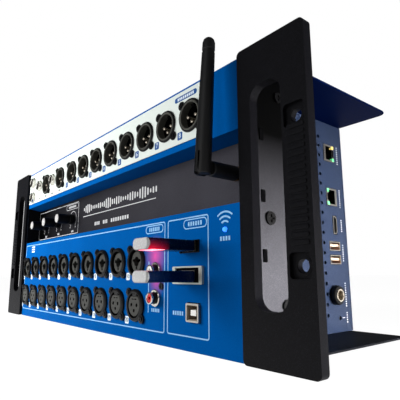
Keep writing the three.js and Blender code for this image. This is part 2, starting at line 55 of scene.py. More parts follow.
# How a part drawn facing the front, towards -y, is turned to face another way.
FRONT = Matrix.Identity(4)
RIGHT = Matrix.Rotation(math.radians(90), 4, "Z")
LEFT = Matrix.Rotation(math.radians(-90), 4, "Z")
TOP = Matrix.Rotation(math.radians(-90), 4, "X")
UPRIGHT = Matrix.Rotation(math.radians(90), 4, "X")


def span(node):
    """A CAD node's lowest and highest corners, in millimetres."""
    low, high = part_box(node)
    origin = Vector((0, EAR_FACE, 0))
    return (low - origin) / MM, (high - origin) / MM


def centre(node):
    low, high = span(node)
    return (low + high) / 2


# ------------------------------------------------------------------ driving sizes
PANEL = span("front_panel")[0].y
STRIP = span("label_strip")[0].y
FASCIA = span("recess_fascia")[0].y
EAR_LOW, EAR_HIGH = span("rack_ear_right")
EAR_THICK = 6.0
SHEET = 1.5
WALL_X = 163.8
CHEEK_X = span("side_panel_right")[1].x
WALL_Z = (span("side_panel_right")[0].z, span("side_panel_right")[1].z)
WALL_BACK = span("side_panel_right")[1].y
STEP_Y = 50.0
RACK_HOLE_X, RACK_HOLES_Z = 232.6, (50.8, 127.0)
MEDIA_Z = (46.7, 64.9)
OUTPUT_JACKS = ((-176.3, 163.3), (-174.8, 144.3), (-152.0, 155.7), (-109.5, 155.6))
LINE_INPUTS_Z = (31.1, 50.1)
EAR_SLOT_X, EAR_SLOT_Z = (202.8, 224.7), (28, 151.8)
RIB_X, FIRST_RIB_Z, RIB_PITCH, RIBS = (227.8, 238.8), 60.6, 3.68, 17
FLANGE_SHEET, FLANGE_Z = 2.0, (8, 170)
FLANGE_SCREWS = ((34, 158.0, 3.4), (23.2, 79.5, 4.1), (35.3, 28.5, 3.8))
CLIP_Y, CLIPS_Z = 17.6, (130.4, 92.4, 57.4)
INPUT_FRAME, MEDIA_FRAME = ((-189.5, 116.4), (8.2, 84.2)), ((119.6, 163.0), (8.5, 84.2))
LEVELS_FRAME, LEVELS_LABEL = ((-188, -66.5), (91.8, 126.2)), ((-100, -68), (119.2, 125.2))
VENT_Y, TOP_VENT_Z, VENT_PITCH, VENTS = 123.5, 160.6, 8.06, 19
# On the right wall, as (y, z).
NETWORK_PORTS = ((137.2, 148.2), (137.6, 110.3))
VIDEO_PORT = (140, 87)
SIDE_USB_Y, SIDE_USB_Z = 138, (69.5, 58.6)
PEDAL_JACK = (134.5, 30.6)
RESET_HOLE = (139.5, 12.6)
INK = 0.06


# ------------------------------------------------------------------ materials
def linear(red, green, blue):
    """A display colour from 0 to 255 as the linear colour that the shader takes."""
    def channel(value):
        share = value / 255
        return share / 12.92 if share <= 0.04045 else ((share + 0.055) / 1.055) ** 2.4
    return (channel(red), channel(green), channel(blue), 1.0)


def scaled(color, factor):
    return tuple(min(1.0, c * factor) for c in color[:3]) + (1.0,)


def fill(tree, node, inputs):
    """Sets a node's inputs, by name or number, to plain values or to the outputs of other nodes."""
    for key, value in inputs.items():
        if isinstance(value, bpy.types.NodeSocket):
            tree.links.new(value, node.inputs[key])
        else:
            node.inputs[key].default_value = value


def add_node(tree, kind, inputs, **settings):
    """Adds a shader node and returns its outputs."""
    node = tree.nodes.new("ShaderNode" + kind)
    for name, value in settings.items():
        setattr(node, name, value)
    fill(tree, node, inputs)
    return node.outputs


def object_place(tree):
    return add_node(tree, "TexCoord", {})["Object"]


def combined(tree, operation, one, two):
    return add_node(tree, "Math", {0: one, 1: two}, operation=operation)[0]


def spread(tree, value, old, new):
    """A value moved from one range to another."""
    ranges = {"From Min": old[0], "From Max": old[1], "To Min": new[0], "To Max": new[1]}
    return add_node(tree, "MapRange", {"Value": value, **ranges})["Result"]


def noise(tree, size, detail=2.0, stretch=None):
    """Noise over the object, with grains of about that size in millimetres, spread over 0 to 1."""
    place = object_place(tree)
    if stretch:
        place = add_node(tree, "Mapping", {"Scale": stretch, "Vector": place})["Vector"]
    texture = add_node(tree, "TexNoise", {"Scale": 1 / (size * MM), "Detail": detail, "Vector": place})
    return spread(tree, texture["Fac"], (0.3, 0.7), (0, 1))


def along(tree, axis, start, end):
    """A value that rises from 0 to 1 between two places along an axis, in millimetres."""
    place = add_node(tree, "SeparateXYZ", {0: object_place(tree)})
    return spread(tree, place[axis], (start * MM, end * MM), (0, 1))


def near(tree, x, z, reach):
    """A value that falls from 1 to 0 over a distance from a point on the front, in millimetres."""
    scale = 1 / (reach * MM)
    place = add_node(tree, "Mapping", {"Scale": (scale, 0, scale), "Location": (-x / reach, 0, -z / reach),
                                       "Vector": object_place(tree)})
    return add_node(tree, "TexGradient", {0: place[0]}, gradient_type="QUADRATIC_SPHERE")["Fac"]


def mixed(tree, factor, one, two):
    """Two colours mixed by a factor. The colour sockets of a mix node are numbers 6, 7 and 2."""
    return add_node(tree, "Mix", {0: factor, 6: one, 7: two}, data_type="RGBA")[2]


def surface(name, color, rough, metal=0.0, grain=0.5, relief=0.01, mottle=0.12, fleck=None, coat=0.0,
            shine=0.5, stretch=None, painted_shade=None, glow=None):
    """A surface whose colour, roughness and height wander at the scale of its grain, in millimetres.

    Colours are display colours. The fleck is a second colour for single grains, and the glow is a
    colour and a strength. The painted_shade is painted shade: an axis, where on it the surface is
    painted black, and where it is full.
    """
    color = linear(*color)
    material = bpy.data.materials.new(name)
    material.use_nodes = True
    tree = material.node_tree
    shader = tree.nodes["Principled BSDF"]
    fine = noise(tree, grain, 3.0, stretch)
    broad = noise(tree, 30.0)
    tone = mixed(tree, broad, scaled(color, 1 - mottle), scaled(color, 1 + mottle))
    tone = mixed(tree, spread(tree, fine, (0, 1), (0, 0.5)), tone, scaled(color, 1 - 2 * mottle))
    if fleck:
        share = spread(tree, noise(tree, grain * 0.8, 1.0), (0.72, 0.9), (0, 0.6))
        tone = mixed(tree, share, tone, linear(*fleck))
    # Painted shade: the colour is darkened to black along an axis, standing in for shade.
    if painted_shade:
        tone = mixed(tree, along(tree, *painted_shade), linear(0, 0, 0), tone)
    bump = add_node(tree, "Bump", {"Distance": relief * MM, "Height": fine})
    roughness = spread(tree, fine, (0, 1), (rough - 0.06, rough + 0.06))
    fill(tree, shader, {"Base Color": tone, "Roughness": roughness, "Normal": bump["Normal"],
                        "Metallic": metal, "Coat Weight": coat, "Specular IOR Level": shine})
    if glow:
        light = linear(*glow[0])
        fill(tree, shader, {"Emission Color": mixed(tree, fine, light, scaled(light, 0.85)),
                            "Emission Strength": glow[1]})
    return material


def ink(name, color, mottle=0.05):
    return surface(name, color, 0.5, grain=0.2, relief=0.003, mottle=mottle)


BLUE = surface("blue_powder_coat", (0, 84, 158), 0.5, grain=0.35, relief=0.02, mottle=0.06, shine=0.01,
               fleck=(2, 98, 178))
# Painted shade: the top cover's blue powder coat is made near-black navy, as its edge looks in shadow.
BLUE_COVER_PAINTED_SHADE = surface("blue_powder_coat_cover_painted_shade", (0, 12, 50), 0.5, grain=0.35, relief=0.02, mottle=0.08,
                    shine=0.01, fleck=(4, 26, 74))
# Painted shade: the bottom cover is made near black, as it looks in the shade of the front.
BASE_COVER_PAINTED_SHADE = surface("base_cover_painted_shade", (14, 15, 20), 0.5, relief=0.03, mottle=0.2, shine=0.1,
                    fleck=(54, 56, 62))
SIDE_BLUE = surface("blue_side_coat", (34, 46, 70), 0.42, grain=0.45, relief=0.03, mottle=0.14,
                    shine=0.2, fleck=(92, 104, 128))
ENAMEL = surface("white_enamel", (218, 226, 220), 0.4, grain=0.4, relief=0.004, mottle=0.025)
# Painted shade: the flange's satin grey is darkened towards the top, black above z 132.
FLANGE_GREY_PAINTED_SHADE = surface("flange_satin_painted_shade", (78, 78, 83), 0.45, grain=0.4, relief=0.02, shine=0.1,
                      fleck=(112, 112, 118), painted_shade=("Z", 132, 46))
EAR_BLACK = surface("ear_black_powder", (7, 7, 10), 0.5, grain=0.4, relief=0.03, mottle=0.15,
                    shine=0.12, fleck=(30, 30, 35))
# Painted shade: the fascia's charcoal is darkened towards the left end of the recess, black at x -170.
FASCIA_GREY_PAINTED_SHADE = surface("fascia_charcoal_painted_shade", (64, 63, 69), 0.5, grain=0.6, relief=0.02, shine=0.05,
                      fleck=(90, 90, 96), painted_shade=("X", -170, 195))
BEZEL_BLACK = surface("moulded_black", (8, 8, 9), 0.34, grain=0.3, mottle=0.2, shine=0.25)
RING_OLIVE = surface("socket_ring", (84, 84, 78), 0.42, metal=0.3, grain=0.4)
# Black plastic inside the sockets, and painted shade: dark plates that stand for notches.
HOLLOW_BLACK_AND_SHADE = surface("socket_black_and_painted_shade", (4, 4, 5), 0.7, grain=0.6, relief=0.02, mottle=0.3, shine=0.05)
INSERT = surface("insert_grey", (66, 66, 63), 0.5, shine=0.2, grain=0.3, mottle=0.1)
CHROME = surface("nickel_plate", (214, 210, 202), 0.2, metal=1.0, relief=0.002, mottle=0.05)
DARK_SCREW = surface("screw_black_oxide", (10, 10, 11), 0.32, shine=0.3, grain=0.4, relief=0.006,
                     mottle=0.2)
GOLD = surface("gold_plate", (236, 186, 96), 0.22, metal=1.0, relief=0.003, mottle=0.08)
PIN = surface("contact_pin", (238, 226, 206), 0.24, metal=0.9, relief=0.002, mottle=0.05)
WHITE_INK = ink("white_ink", (150, 200, 240))
PURE_INK = ink("tag_white_ink", (235, 246, 252), 0.03)
PALE_INK = ink("fascia_ink", (205, 205, 205))
BLUE_INK = ink("blue_ink", (18, 74, 138), 0.06)
BLACK_INK = ink("black_ink", (22, 26, 32), 0.1)
KNOB_BLACK = surface("knob_rubber", (8, 8, 9), 0.45, grain=0.3, relief=0.015, mottle=0.2, shine=0.15)
KNOB_FACE = surface("knob_face", (232, 230, 228), 0.28, metal=0.4, grain=0.2, relief=0.003, mottle=0.04)
RUBBER = surface("antenna_rubber", (9, 9, 10), 0.5, relief=0.02, mottle=0.2, shine=0.35)
STICK_NAVY = surface("stick_navy", (1, 28, 74), 0.25, grain=1.2, relief=0.001, mottle=0.15, shine=0.12)
STICK_WHITE = surface("stick_pearl", (198, 198, 198), 0.25, grain=1.0, relief=0.001, mottle=0.02,
                      coat=0.3)
LENS_PINK = surface("stick_light", (255, 150, 160), 0.3, grain=1.5, relief=0.002, mottle=0.05,
                    glow=((255, 120, 135), 3.4))
SATIN_FRAME = surface("socket_frame_satin", (204, 212, 202), 0.34, metal=0.5, relief=0.004, mottle=0.05)
SHELL = surface("tin_shell", (196, 190, 180), 0.3, metal=0.95, relief=0.004, mottle=0.08)
BEIGE = surface("socket_beige", (146, 130, 112), 0.5, grain=0.4, relief=0.004, mottle=0.1)
WHITE_PLASTIC = surface("insert_white", (246, 244, 240), 0.4, grain=0.4, relief=0.003, mottle=0.02)
TONGUE = surface("tongue_cream", (228, 206, 178), 0.4, grain=0.4, relief=0.003, mottle=0.05)
BROWN = surface("socket_brown", (84, 44, 26), 0.5, grain=0.4, relief=0.004, mottle=0.15)
RED_PLASTIC = surface("red_plastic", (214, 14, 18), 0.35, relief=0.003, mottle=0.08)
CIRCUIT = surface("circuit_board_green", (24, 84, 50), 0.4, grain=0.8, mottle=0.25, fleck=(120, 140, 90))
CAN_STEEL = surface("power_supply_steel", (170, 172, 174), 0.35, metal=0.9, grain=0.4, relief=0.005,
                    mottle=0.08, stretch=(0.1, 1, 1))
BLUE_LENS = surface("led_blue", (80, 150, 255), 0.15, grain=0.6, relief=0.002, mottle=0.05,
                    glow=((50, 130, 255), 1.8))
YELLOW_LENS = surface("led_yellow", (250, 220, 120), 0.2, grain=0.6, relief=0.002, mottle=0.05,
                      glow=((255, 220, 120), 0.8))
GREEN_LENS = surface("led_green", (110, 230, 150), 0.2, grain=0.6, relief=0.002, mottle=0.05,
                     glow=((120, 255, 160), 0.7))


def warm_panel(spots, color):
    """Painted light: the red light of the memory stick, painted into the blue coat as glow at a few spots:
    (x, z, reach, strength).
    """
    color = linear(*color)
    tree = BLUE.node_tree
    total = 0.0
    for x, z, reach, strength in spots:
        level = spread(tree, near(tree, x, z, reach), (0, 1), (0, strength))
        total = combined(tree, "ADD", level, total)
    light = mixed(tree, noise(tree, 6.0), color, scaled(color, 0.8))
    fill(tree, tree.nodes["Principled BSDF"], {"Emission Color": light, "Emission Strength": total})


# ------------------------------------------------------------------ outlines, as lists of (x, z)
def arc(x, z, radius, start, end, steps):
    """Points on a circle, between two angles in degrees."""
    turns = [math.radians(start + (end - start) * i / steps) for i in range(steps + 1)]
    return [(x + radius * math.cos(t), z + radius * math.sin(t)) for t in turns]


def circle(x, z, radius, sides=ROUND_SIDES):
    return arc(x, z, radius, 0, 360, sides)[:-1]


def rounded(x, z, radius, steps=6):
    """A rounded rectangle between two x and two z values."""
    x0, x1, z0, z1 = x[0] + radius, x[1] - radius, z[0] + radius, z[1] - radius
    return [*arc(x1, z0, radius, -90, 0, steps), *arc(x1, z1, radius, 0, 90, steps),
            *arc(x0, z1, radius, 90, 180, steps), *arc(x0, z0, radius, 180, 270, steps)]


def around(x, z, width, height, radius, steps=6):
    return rounded((x - width / 2, x + width / 2), (z - height / 2, z + height / 2), radius, steps)


def rectangle(x, z):
    return [(x[0], z[0]), (x[1], z[0]), (x[1], z[1]), (x[0], z[1])]


def about(x, z, width, height):
    return rectangle((x - width / 2, x + width / 2), (z - height / 2, z + height / 2))


def sector(x, z, inner, outer, start, end, steps=14):
    return [*arc(x, z, outer, start, end, steps), *reversed(arc(x, z, inner, start, end, steps))]


def cross(x, z, reach, width):
    """The outline of a cross recess."""
    r, w = reach, width / 2
    corners = [(w, w), (w, r), (-w, r), (-w, w), (-r, w), (-r, -w), (-w, -w), (-w, -r), (w, -r), (w, -w),
               (r, -w), (r, w)]
    return [(x + dx, z + dz) for dx, dz in corners]


# ------------------------------------------------------------------ closed parts
def lathe(profile, x=0.0, z=0.0, sides=ROUND_SIDES, ring=False, flutes=(0, 0.0)):
    """A solid of revolution about a line along y. The profile is (radius, y) pairs, open or a ring."""
    part = bmesh.new()
    count, depth = flutes
    rows = []
    for radius, y in profile:
        if radius == 0:
            rows.append([part.verts.new((x, y, z))])
            continue
        row = []
        for i in range(sides):
            turn = 2 * math.pi * i / sides
            r = radius * (1 + depth * math.cos(count * turn))
            row.append(part.verts.new((x + r * math.cos(turn), y, z + r * math.sin(turn))))
        rows.append(row)
    pairs = list(zip(rows, rows[1:] + rows[:1] if ring else rows[1:]))
    for one, two in pairs:
        for i in range(sides):
            j = (i + 1) % sides
            corners = [one[i % len(one)], one[j % len(one)], two[j % len(two)], two[i % len(two)]]
            corners = list(dict.fromkeys(corners))
            if len(corners) > 2:
                part.faces.new(corners)
    return part


def plate(loops, y):
    """A flat part between two depths. The first loop is its outline and the others are holes."""
    part = bmesh.new()
    flat = [point for loop in loops for point in loop]
    front = [part.verts.new((x, y[0], z)) for x, z in flat]
    back = [part.verts.new((x, y[1], z)) for x, z in flat]
    caps = [range(len(flat))]
    if len(loops) > 1:
        caps = tessellate_polygon([[Vector((x, z, 0)) for x, z in loop] for loop in loops])
    for cap in caps:
        part.faces.new([front[i] for i in cap])
        part.faces.new([back[i] for i in reversed(cap)])
    first = 0
    for loop in loops:
        count = len(loop)
        for i in range(count):
            one, two = first + i, first + (i + 1) % count
            part.faces.new((front[one], front[two], back[two], back[one]))
        first += count
    return part


def block(x, y, z):
    return plate([rectangle(x, z)], y)


def rod(x, z, radius, y, sides=ROUND_SIDES):
    return lathe([(0, y[0]), (radius, y[0]), (radius, y[1]), (0, y[1])], x, z, sides)


def loft(sections):
    """A solid through rings of (x, y, z) points, closed at both ends."""
    part = bmesh.new()
    rows = [[part.verts.new(point) for point in section] for section in sections]
    for one, two in zip(rows, rows[1:]):
        for i in range(len(one)):
            j = (i + 1) % len(one)
            part.faces.new((one[i], one[j], two[j], two[i]))
    part.faces.new(rows[0])
    part.faces.new(rows[-1])
    return part


def as_object(part, name):
    bmesh.ops.recalc_face_normals(part, faces=part.faces)
    mesh = bpy.data.meshes.new(name)
    part.to_mesh(mesh)
    part.free()
    thing = bpy.data.objects.new(name, mesh)
    bpy.context.scene.collection.objects.link(thing)
    return thing


def carved(part, *tools):
    """A part with the tools cut out of it."""
    body = as_object(part, "carved_body")
    cutters = [as_object(tool, "carving_tool") for tool in tools]
    for cutter in cutters:
        modifier = body.modifiers.new("cut", "BOOLEAN")
        modifier.operation = "DIFFERENCE"
        modifier.solver = "EXACT"
        modifier.object = cutter
    bpy.context.view_layer.update()
    result = bmesh.new()
    result.from_object(body, bpy.context.evaluated_depsgraph_get())
    for thing in (body, *cutters):
        bpy.data.objects.remove(thing)
    return result


def digits(value, x, z, height, depth):
    """A number, centred on a point, as a thin solid."""
    curve = bpy.data.curves.new("digits", "FONT")
    curve.body = str(value)
    curve.size = height * 1.4
    curve.align_x, curve.align_y = "CENTER", "CENTER"
    curve.extrude = (depth[1] - depth[0]) / 2
    curve.resolution_u = 3
    holder = bpy.data.objects.new("digits", curve)
    part = bmesh.new()
    part.from_mesh(bpy.data.meshes.new_from_object(holder))
    bpy.data.objects.remove(holder)
    middle = (depth[0] + depth[1]) / 2
    for vert in part.verts:
        vert.co = (x + vert.co.x, middle - vert.co.z, z + vert.co.y)
    bmesh.ops.remove_doubles(part, verts=part.verts, dist=1e-4)
    return part


class Piece:
    """One visible piece: closed parts in millimetres, each with its own material."""

    def __init__(self, name, facing=FRONT):
        self.name = name
        self.facing = facing
        self.points, self.faces, self.face_materials, self.materials = [], [], [], []

    def take(self, part, material, bevel=0.0, segments=2):
        """Adds a part, with its sharp edges rounded off by that much."""
        bmesh.ops.remove_doubles(part, verts=part.verts, dist=1e-4)
        bmesh.ops.recalc_face_normals(part, faces=part.faces)
        if bevel:
            edges = [e for e in part.edges if e.is_manifold and e.calc_face_angle() > SHARP]
            bmesh.ops.bevel(part, geom=edges, offset=bevel, segments=segments, profile=0.5,
                            affect="EDGES", clamp_overlap=True)
        part.verts.index_update()
        first = len(self.points)
        matrix = TO_WORLD @ self.facing
        self.points += [matrix @ v.co for v in part.verts]
        self.faces += [[first + v.index for v in face.verts] for face in part.faces]
        if material not in self.materials:
            self.materials.append(material)
        self.face_materials += [self.materials.index(material)] * len(part.faces)
        part.free()

    def done(self, body, slot, *replaced):
        mesh = bpy.data.meshes.new(self.name)
        mesh.from_pydata(self.points, [], self.faces)
        for material in self.materials:
            mesh.materials.append(material)
        mesh.polygons.foreach_set("material_index", self.face_materials)
        mesh.polygons.foreach_set("use_smooth", [True] * len(self.faces))
        mesh.set_sharp_from_angle(angle=SHARP)
        piece = bpy.data.objects.new(self.name, mesh)
        piece.modifiers.new("flat_faces", "WEIGHTED_NORMAL").keep_sharp = True
        bpy.context.scene.collection.objects.link(piece)
        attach(piece, body)
        if replaced:
            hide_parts(*replaced)
        return piece


def add_screw(piece, x, z, y, radius, material, height=0.9):
    """A pan-head screw with a cross recess, standing on the plane at depth y."""
    piece.take(rod(x, z, radius, (y - height * 0.35, y + 0.1), 24), material)
    crown = [circle(x, z, radius, 24), cross(x, z, radius * 0.62, radius * 0.3)]
    piece.take(plate(crown, (y - height, y - height * 0.3)), material, bevel=height * 0.28)


# ------------------------------------------------------------------ camera, floor and light
def add_camera():
    """The camera stands low, near the right ear, and looks up and left along the front."""
    yaw, pitch, roll = 50.42, 10.36, -0.30
    data = bpy.data.cameras.new("camera")
    data.sensor_width = 36
    data.lens = 37.233
    data.clip_start = 0.01
    camera = bpy.data.objects.new("camera", data)
    camera.matrix_world = (Matrix.Translation((0.355449, -0.224728, 0.046375))
                           @ Matrix.Rotation(math.radians(yaw), 4, "Z")
                           @ Matrix.Rotation(math.radians(90 + pitch), 4, "X")
                           @ Matrix.Rotation(math.radians(roll), 4, "Z"))
    bpy.context.scene.collection.objects.link(camera)
    bpy.context.scene.camera = camera


def seen_or_lit(tree, seen, lit, mirrored=False):
    """Mixes two shaders: one for what the camera sees directly, one for the light given to the object."""
    path = add_node(tree, "LightPath", {})
    direct = path["Is Camera Ray"]
    if mirrored:
        direct = combined(tree, "MAXIMUM", direct, path["Is Glossy Ray"])
    return add_node(tree, "MixShader", {0: direct, 1: lit, 2: seen})[0]


def add_world():
    """A white studio that gives softer, greyer light than it shows."""
    world = bpy.data.worlds.new("studio")
    bpy.context.scene.world = world
    world.use_nodes = True
    tree = world.node_tree
    seen = tree.nodes["Background"]
    fill(tree, seen, {"Color": (1, 1, 1, 1), "Strength": 1.0})
    lit = add_node(tree, "Background", {"Color": (0.93, 0.96, 1, 1), "Strength": 0.10})
    fill(tree, tree.nodes["World Output"], {"Surface": seen_or_lit(tree, seen.outputs[0], lit[0])})


def add_floor():
    """A plain pale sweep under the object, bright enough to show only a faint shadow."""
    bpy.ops.mesh.primitive_circle_add(vertices=96, radius=30, fill_type="NGON", location=(0, 0, -0.0002))
    floor = bpy.context.object
    floor.name = "floor"
    material = bpy.data.materials.new("floor_white")
    material.use_nodes = True
    tree = material.node_tree
    shader = tree.nodes["Principled BSDF"]
    fill(tree, shader, {"Base Color": (0.12, 0.12, 0.12, 1), "Roughness": 1.0, "Specular IOR Level": 0.0,
                        "Emission Color": (1, 1, 1, 1), "Emission Strength": 0.97})
    plain = add_node(tree, "BsdfDiffuse", {"Color": (0.3, 0.3, 0.3, 1)})
    both = seen_or_lit(tree, shader.outputs[0], plain[0], mirrored=True)
    fill(tree, tree.nodes["Material Output"], {"Surface": both})
    floor.data.materials.append(material)


def add_softbox(name, place, target, size, power, color=(1, 1, 1), mirrored=True, cone=180):
    data = bpy.data.lights.new(name, "AREA")
    data.shape = "RECTANGLE"
    data.size, data.size_y = size
    data.energy = power
    data.color = color
    data.spread = math.radians(cone)
    light = bpy.data.objects.new(name, data)
    light.location = place
    light.rotation_euler = (Vector(target) - Vector(place)).to_track_quat("-Z", "Y").to_euler()
    light.visible_camera = False
    light.visible_glossy = mirrored
    bpy.context.scene.collection.objects.link(light)


def add_lights():
    add_softbox("key_left", (-0.42, -0.45, 0.25), (-0.14, -0.06, 0.10), (0.4, 0.4), 6.8, mirrored=False)
    add_softbox("fill_front", (0.25, -1.20, 0.50), (0.05, 0, 0.08), (0.9, 0.7), 3.0)
    add_softbox("low_right", (0.66, 0.24, 0.03), (0.20, -0.035, 0.03), (0.30, 0.06), 1.4, (1, 0.97, 0.96),
                mirrored=False, cone=60)
    add_softbox("back_right", (1.20, 0.70, 0.10), (0.2, 0, 0.03), (1.6, 0.35), 2.4, (1, 0.97, 0.96))


# ------------------------------------------------------------------ rack ears
def rack_ear(side):
    """A thick cast ear with a hand slot, sunk rack holes, a ribbed grip and a return flange."""
    name = "rack_ear_right" if side > 0 else "rack_ear_left"

    def flat(loop):
        """An outline drawn for the right ear, moved to this side."""
        return [(side * x, z) for x, z in loop]

    outer = flat(rounded((EAR_LOW.x, EAR_HIGH.x), (0, EAR_HIGH.z), 3.0))
    slot = flat(rounded(EAR_SLOT_X, EAR_SLOT_Z, 8.0, 10))
    holes = [flat(circle(RACK_HOLE_X, z, 3.8, 32)) for z in RACK_HOLES_Z]
    pockets = [plate([flat(around(RACK_HOLE_X, z, 12.8, 12.8, 2.2))], (-1, 2.5)) for z in RACK_HOLES_Z]
    ear = Piece(name + "_casting")
    casting = carved(plate([outer, slot, *holes], (0, EAR_THICK)), *pockets)
    ear.take(casting, EAR_BLACK, bevel=0.5, segments=3)
    flange_x = sorted((side * EAR_LOW.x, side * (EAR_LOW.x + FLANGE_SHEET)))
    # The return flange, its grey darkened towards the top as painted shade.
    ear.take(block(flange_x, (EAR_THICK - 0.3, EAR_HIGH.y), FLANGE_Z), FLANGE_GREY_PAINTED_SHADE, bevel=0.4)
    rib_x = sorted(side * x for x in RIB_X)
    for i in range(RIBS):
        z = FIRST_RIB_Z + i * RIB_PITCH
        ear.take(plate([rounded(rib_x, (z, z + 2.5), 1.1, 4)], (-0.6, 0.2)), EAR_BLACK, bevel=0.5)
    for z in RACK_HOLES_Z:
        bush = [(3.75, 2.2), (4.9, 2.2), (4.9, 2.6), (3.75, 6.1), (3.3, 6.1), (3.3, 2.6)]
        ear.take(lathe(bush, side * RACK_HOLE_X, z, 32, ring=True), EAR_BLACK)
    ear.done("chassis", "black_paint", name)

    fixings = Piece(name + "_fixings", RIGHT if side > 0 else LEFT)
    depth = -(EAR_LOW.x + FLANGE_SHEET)
    for y, z, radius in FLANGE_SCREWS:
        add_screw(fixings, side * y, z, depth, radius, DARK_SCREW, 1.2)
    # The clips are dark plates on the flange: painted shade standing for its notches.
    for z in CLIPS_Z:
        clip = around(side * CLIP_Y, z, 3.6, 7.6, 0.8)
        fixings.take(plate([clip], (depth - 0.5, depth + 0.5)), HOLLOW_BLACK_AND_SHADE, bevel=0.2)
    fixings.done("chassis", "black_paint")


# ------------------------------------------------------------------ chassis
def coated(node, material, bevel):
    """A CAD node that keeps its shape, with its edges rounded and its own finish."""
    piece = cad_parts[node]
    piece.data.materials.clear()
    piece.data.materials.append(material)
    weld = piece.modifiers.new("weld", "WELD")
    weld.merge_threshold = 0.01 * MM
    rounding = piece.modifiers.new("rounding", "BEVEL")
    rounding.width = bevel * MM
    rounding.segments = 2
    rounding.limit_method = "ANGLE"
    rounding.angle_limit = SHARP
    rounding.harden_normals = True


def side_wall(side):
    """The folded side sheet: a cheek, a step and the wall with its vents and port windows."""
    node = "side_panel_right" if side > 0 else "side_panel_left"
    wall = Piece(node + "_sheet", RIGHT if side > 0 else LEFT)
    holes = [circle(side * VENT_Y, TOP_VENT_Z - i * VENT_PITCH, 1.5, 20) for i in range(VENTS)]
    if side > 0:
        holes += [about(*place, 15, 15) for place in NETWORK_PORTS]
        holes += [about(SIDE_USB_Y, z, 15.4, 8) for z in SIDE_USB_Z]
        holes.append(around(*VIDEO_PORT, 6.4, 16, 1))
        holes += [circle(*PEDAL_JACK, 5.6, 32), circle(*RESET_HOLE, 1.7, 20)]
    else:
        low, high = span("power_inlet")
        body = (-(high.y - 3.5), -(low.y + 3.5))
        holes = [h for h in holes if not (low.z - 2 < h[0][1] < high.z + 2)]
        holes.append(rectangle(body, (low.z + 3.5, high.z - 3.5)))
    across = sorted((side * STEP_Y, side * WALL_BACK))
    wall.take(plate([rectangle(across, WALL_Z), *holes], (-WALL_X, SHEET - WALL_X)), SIDE_BLUE, bevel=0.15)
    step = sorted((side * (STEP_Y - SHEET), side * STEP_Y))
    wall.take(plate([rectangle(step, WALL_Z)], (-CHEEK_X, SHEET - WALL_X)), SIDE_BLUE, bevel=0.3)
    cheek = sorted((side * PANEL, side * (STEP_Y - SHEET)))
    wall.take(plate([rectangle(cheek, WALL_Z)], (-CHEEK_X, SHEET / 2 - CHEEK_X)), SIDE_BLUE, bevel=0.3)
    # The cheek's inner face is black: partly the black of the ear bracket, partly painted shade at the end
    # of the front recess.
    wall.take(plate([rectangle(cheek, WALL_Z)], (SHEET / 2 - CHEEK_X, SHEET - CHEEK_X)), EAR_BLACK)
    wall.done("chassis", "side_paint", node)


def chassis():
    # Painted light: pools of red glow painted into the blue front beside the lit memory stick.
    warm_panel(((104.5, 60.5, 17, 0.95), (106, 43, 13, 0.7)), (255, 24, 84))
    for node, material, bevel in (("front_panel", BLUE, 0.5), ("recess_fascia", FASCIA_GREY_PAINTED_SHADE, 0.1),
                                  ("label_strip", ENAMEL, 0.08), ("top_cover", BLUE_COVER_PAINTED_SHADE, 0.35),
                                  ("bottom_cover", BASE_COVER_PAINTED_SHADE, 0.35), ("rear_panel", SIDE_BLUE, 0.3),
                                  ("input_board", CIRCUIT, 0.1), ("control_board", CIRCUIT, 0.1),
                                  ("power_supply", CAN_STEEL, 0.4)):
        coated(node, material, bevel)
    side_wall(1)
    side_wall(-1)
    rack_ear(1)
    rack_ear(-1)


# ------------------------------------------------------------------ round connectors
TAB_REACH, TAB_RADIUS, BEZEL = 9.4, 3.3, 11.9


def add_bezel(piece, x, z, face, ring_material):
    """A round moulded bezel with two screw tabs, up left and down right."""
    for way in (-1, 1):
        tab_x, tab_z = x + way * TAB_REACH, z - way * TAB_REACH
        piece.take(rod(tab_x, tab_z, TAB_RADIUS, (1.2, face + 0.1), 28), BEZEL_BLACK, bevel=0.35)
        add_screw(piece, tab_x, tab_z, 1.25, 1.9, DARK_SCREW, 0.8)
    rim = [(BEZEL, face + 0.05), (BEZEL, 1.5), (BEZEL - 0.5, 0.9), (BEZEL - 1.1, 0.75),
           (BEZEL - 1.4, 1.1), (BEZEL - 1.4, face + 0.05)]
    lining = [(BEZEL - 1.35, face + 0.05), (BEZEL - 1.35, 1.0), (BEZEL - 1.6, 0.7), (9.6, 0.65),
              (9.25, 0.9), (9.1, 4.5), (9.1, face + 4.5), (BEZEL - 1.35, face + 4.5)]
    piece.take(lathe(rim, x, z, ring=True), BEZEL_BLACK)
    piece.take(lathe(lining, x, z, ring=True), ring_material)


def round_socket(kind, number, face, ring_material, floor, shelf):
    """Starts a round socket: its bezel, and its dark inside with a floor and a shelf at two depths."""
    node = f"{kind}_{number}"
    place = centre(node)
    piece = Piece(node + "_socket")
    add_bezel(piece, place.x, place.z, face, ring_material)
    inside = [(0, floor), (9.2, floor), (9.2, shelf), (10.6, shelf), (10.6, 22), (0, 22)]
    piece.take(lathe(inside, place.x, place.z), HOLLOW_BLACK_AND_SHADE)
    return piece, node, place.x, place.z


def pin_holes(x, z, radius, depth, places):
    return [rod(x + dx, z + dz, radius, (0, depth), 20) for dx, dz in places]


def output_socket(number):
    """A male output socket: an open shell with three pins."""
    piece, node, x, z = round_socket("output_xlr", number, STRIP, RING_OLIVE, 17, 3)
    piece.take(plate([about(x, z + 8.3, 2.6, 1.9)], (4, 17)), HOLLOW_BLACK_AND_SHADE, bevel=0.3)
    pin = [(0, 2.6), (0.7, 2.7), (1.1, 3.2), (1.15, 4), (1.15, 17.5), (0, 17.5)]
    for dx, dz in ((-4.1, -0.1), (4.1, -0.1), (0, -4.1)):
        piece.take(lathe(pin, x + dx, z + dz, 20), PIN)
    piece.done("chassis", "black_plastic", node)


